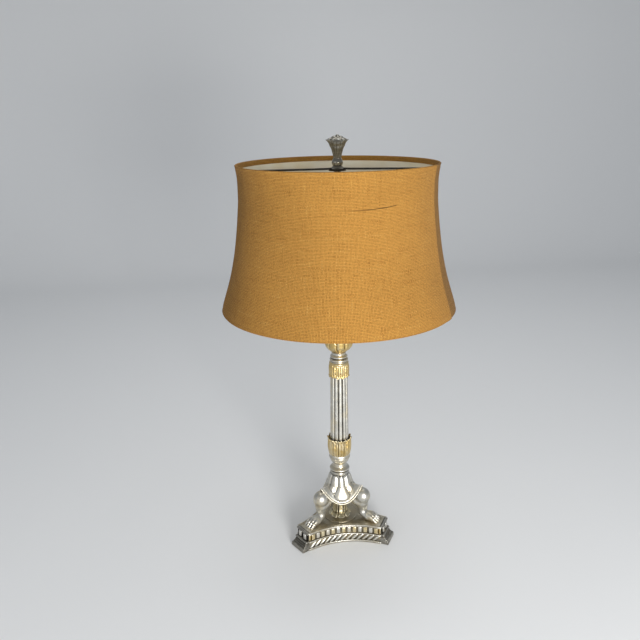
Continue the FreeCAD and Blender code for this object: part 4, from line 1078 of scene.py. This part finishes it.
def makeFinial(settings):
    thread = settings["bore"]
    rim = settings["rim"]
    low, high = span("finial_base")
    turnNode("finialFoot", "finial_base", "aged_nickel", 72,
             (thread, low), (11.6, low), (12.2, low + 0.8, 0.1), (11.8, low + 1.8, 0.3),
             (8.8, low + 4.2, -0.3), (7.4, low + 4.9), (6.6, high), (thread, high),
             body="finial", finish="pewter")
    low, high = span("finial_body")
    ball = low + 9.8
    flare = ball + 2.0
    rings = profile((thread, low - 3.0), (6.8, low - 3.0), (6.9, ball, 2.4), (6.7, ball + 0.9, -0.1),
                    (7.2, ball + 3.6, 0.1), (8.6, ball + 10.0, -0.3), (12.6, ball + 20.0, -0.7),
                    (16.6, high - 3.0, -0.6), (rim, high - 0.9, -0.2), (rim - 0.9, high - 0.1, 0.2),
                    (12.0, high - 1.6, -0.3), (0.02, high - 1.2))
    rings += [(0.02, low + 14.0), (thread, low + 14.0), (thread, low - 3.0)]
    body = turnPiece("finialTrumpet", rings, settings["flutes"] * 12, smoothAngle=60)

    # flutes that run out at the rim, which is notched between them
    def fluted(place):
        radius = radiusOf(place)
        if place.z < flare or radius < settings["waist"] - 1.0:
            return place
        rise = min(1.0, (place.z - flare) / (high - flare))
        across = acrossOf(place, settings["flutes"])
        flute = 1 - math.sqrt(max(0.0, 1.0 - across ** 2))
        notch = across ** 3
        depth = 0.9 * flute * (1.0 - rise ** 8) + 2.6 * notch * rise ** 8 * min(1.0, radius / rim)
        return drawnIn(place, depth, -0.7 * notch * rise ** 6)

    reshape(body, fluted)
    placePiece(body, "finial", "aged_nickel", "finial_body")
    low, high = span("finial_bead")
    crown = []
    for radius, height, size, count, start, lean in settings["petals"]:
        petal = blob((radius, 0, low + height), (size, size * 0.62, 1.7), lean, fine=20)
        crown.append(copiesOf(petal, roundAxis(count, start), "petals"))
    crown.append(turnPiece("bead", profile((0.02, low - 1.0), (14.0, low - 1.0), (13.0, low + 0.4, 0.2),
                                           (4.6, low + 4.4, 1.0), (2.4, low + 4.8), (2.3, high - 0.7, 0.7),
                                           (0.02, high, 0.4)), smoothAngle=50))
    placePiece(joinPieces(crown, "finialCrown"), "finial", "aged_nickel", "finial_bead")


makeFinial(finialSettings)
print("finial made")


def makeBulb():
    low, high = span("bulb_glass")
    rings = profile((0.02, low + 0.1), (12.5, low + 0.1), (14.5, low + 12, -0.2), (29.6, high - 34, 3.6),
                    (21.2, high - 8.8, 3.4), (0.02, high, 3.6), parts=12)
    placePiece(turnPiece("bulbGlass", rings, smoothAngle=80), "bulb", "bulb_glass", "bulb_glass")


makeBulb()

plinthSettings = {
    # how far out a hollow side's middle is, and the corner where it meets a block, in mm
    "side": 45.0, "corner": (90.0, 20.5), "sideParts": 18,
    # foot, head, inset and rounding of each course
    "courses": [(0.0, 4.4, 0.0, 0.7), (4.0, 16.6, 2.8, 1.0), (16.4, 19.0, 0.6, 0.8), (18.8, 33.2, 3.6, 0.0),
                (32.8, 36.0, 1.4, 0.8), (35.8, 36.6, 4.2, 0.3)],
    "mound": [(34.5, 35.0), (34.5, 36.9), (33.6, 37.8, 0.3), (31.6, 37.4, -0.2), (22.0, 37.6, -0.2),
              (14.4, 39.6, -0.3)],
    # foot, head, reach at the foot and at the head, half width and rounding of each tier of a block
    "blockInner": 72.0,
    "tiers": [(0.0, 8.0, 104.0, 103.0, 18.5, 0.6), (7.8, 11.0, 100.5, 98.5, 17.6, 0.8),
              (10.8, 16.5, 97.0, 94.0, 16.8, 0.6), (16.3, 19.2, 95.5, 94.5, 17.4, 0.7),
              (19.0, 33.2, 90.0, 90.0, 16.2, 0.3), (32.8, 36.0, 92.0, 91.4, 17.2, 0.7)],
    # inset, height and radius of each bright edge
    "edges": [(1.2, 35.5, 0.6), (1.4, 33.3, 0.5), (0.5, 18.5, 0.6), (-0.1, 3.9, 0.6)],
}


# The arc of a hollow side: how far out its centre is, its radius and half its sweep.
def hollowSide(inset, settings=plinthSettings):
    turn = math.radians(60.0)
    side = settings["side"] - inset
    out, half = (place - inset for place in settings["corner"])
    chordOut = out * math.cos(turn) + half * math.sin(turn)
    chordHalf = abs(out * math.sin(turn) - half * math.cos(turn))
    sagitta = chordOut - side
    radius = (chordHalf ** 2 + sagitta ** 2) / (2 * sagitta)
    return side + radius, radius, math.asin(chordHalf / radius)


# A place on one of the three sides, turned along it: share runs from -1 to 1 between the blocks.
def onSide(number, share, inset, height=0.0):
    centre, radius, sweep = hollowSide(inset)
    angle = sweep * share
    place = shifted(centre - radius * math.cos(angle), -radius * math.sin(angle), height)
    return spun(-90.0 + 120.0 * number) @ place @ spun(math.degrees(angle))


def plinthOutline(inset, height, parts):
    return [onSide(number, 1.0 - 2.0 * i / parts, inset, height).translation / mm
            for number in range(3) for i in range(parts + 1)]


# One course of the plinth: the outline is filled, extruded up and its edges are rounded.
def course(outline, rise, roundOff):
    mesh = bpy.data.meshes.new("course")
    mesh.from_pydata([place * mm for place in outline], [], [list(range(len(outline)))])
    piece = bpy.data.objects.new("course", mesh)
    bpy.context.scene.collection.objects.link(piece)
    takeUp(piece)
    bpy.ops.object.mode_set(mode="EDIT")
    bpy.ops.mesh.select_all(action="SELECT")
    bpy.ops.mesh.extrude_region_move(TRANSFORM_OT_translate={"value": (0, 0, rise * mm)})
    pointOutwards(piece)
    if roundOff:
        finishWith(piece, "BEVEL", width=roundOff * mm, segments=3, limit_method="ANGLE",
                   angle_limit=math.radians(50))
    return piece


def blockTier(inner, low, high, reachLow, reachHigh, half, roundOff):
    clearSelection()
    bpy.ops.mesh.primitive_cube_add(size=1, location=(0, 0, 0))
    tier = bpy.context.object
    for vert in tier.data.vertices:
        upper = vert.co.z > 0
        reach = reachHigh if upper else reachLow
        narrow = half - (reachLow - reachHigh) * 0.6 if upper else half
        vert.co = Vector((reach if vert.co.x > 0 else inner, narrow if vert.co.y > 0 else -narrow,
                          high if upper else low)) * mm
    finishWith(tier, "BEVEL", width=roundOff * mm, segments=3)
    return tier


def makePlinth(settings):
    low, top = span("plinth")
    parts = settings["sideParts"]
    body = []
    for foot, head, inset, roundOff in settings["courses"]:
        foot = max(low, foot)
        body.append(course(plinthOutline(inset, foot, parts), head - foot, roundOff))
    body.append(turnPiece("mound", profile((bore, 35.0), *settings["mound"], (13.6, top, 0.3), (bore, top),
                                           (bore, 35.0)), 96))
    whole = joinPieces(body, "plinthBody")
    smoothen(whole, 35)
    placePiece(whole, "base", "plinth_metal", "plinth")
    tiers = [blockTier(settings["blockInner"], max(low, foot), *values)
             for foot, *values in settings["tiers"]]
    blocks = joinPieces([copiesOf(tier, roundAxis(3, -150.0), "tier") for tier in tiers], "plinthBlocks")
    smoothen(blocks, 35)
    placePiece(blocks, "base", "plinth_metal", finish="pewter")
    edges = [wirePiece("edge", plinthOutline(inset, height, parts), thick, closed=True, sides=2)
             for inset, height, thick in settings["edges"]]
    placePiece(joinPieces(edges, "plinthEdges"), "base", "silver_leaf")


ropeSettings = {
    "size": (2.4, 2.5, 9.6), "lean": -46.0, "middle": 10.3, "low": 4.3, "high": 16.5, "inset": 2.4,
    "pitch": 10.6, "run": 0.96,
}


# The rope course: one slanted, rounded stroke, copied along each side.
def makeRope(settings):
    clearSelection()
    bpy.ops.mesh.primitive_uv_sphere_add(segments=16, ring_count=12, radius=1 * mm, scale=settings["size"])
    bpy.ops.object.transform_apply(location=False, rotation=False, scale=True)
    stroke = bpy.context.object
    stroke.data.transform(shifted(0, 0, settings["middle"]) @ spun(settings["lean"], "X"))
    _, radius, sweep = hollowSide(settings["inset"])
    count = round(2 * sweep * radius / settings["pitch"])
    rope = copiesOf(stroke, [onSide(number, -((i + 0.5) / count * 2 - 1) * settings["run"], settings["inset"])
                             for number in range(3) for i in range(count)], "ropeCourse")
    # the strokes are trimmed flat between the two fillets
    reshape(rope, lambda place: (place.x, place.y, min(settings["high"], max(settings["low"], place.z))))
    smoothen(rope, 50)
    placePiece(rope, "base", "silver_leaf")


dentilSettings = {
    "count": 13, "size": (4.6, 6.6, 11.0), "roundOff": 1.0, "middle": 26.0, "inset": 3.4, "run": 0.97,
    # how far out and how far to either side the block's own dentils are, on its front and beside it
    "blockFront": (90.0, 7.2), "blockBeside": (85.0, 15.6),
}


def dentilPiece(settings):
    clearSelection()
    bpy.ops.mesh.primitive_cube_add(size=1, scale=[side * mm for side in settings["size"]])
    bpy.ops.object.transform_apply(location=False, rotation=False, scale=True)
    dentil = bpy.context.object
    finishWith(dentil, "BEVEL", width=settings["roundOff"] * mm, segments=3)
    return dentil


def makeDentils(settings):
    count, middle = settings["count"], settings["middle"]
    frontOut, frontSide = settings["blockFront"]
    besideOut, besideSide = settings["blockBeside"]
    silver, gold = [], []
    for number in range(3):
        for i in range(count):
            share = ((i + 0.5) / count * 2 - 1) * settings["run"]
            (silver if i % 2 else gold).append(onSide(number, -share, settings["inset"], middle))
        block = spun(-150.0 + 120.0 * number)
        for way in (-1, 1):
            silver.append(block @ shifted(frontOut, way * frontSide, middle))
            gold.append(block @ shifted(besideOut, way * besideSide, middle) @ spun(90.0))
    for slotName, transforms in (("silver_leaf", silver), ("gold_leaf", gold)):
        piece = copiesOf(dentilPiece(settings), transforms, "dentils." + slotName[:4])
        smoothen(piece, 40)
        placePiece(piece, "base", slotName)


makePlinth(plinthSettings)
makeRope(ropeSettings)
makeDentils(dentilSettings)
print("plinth made")
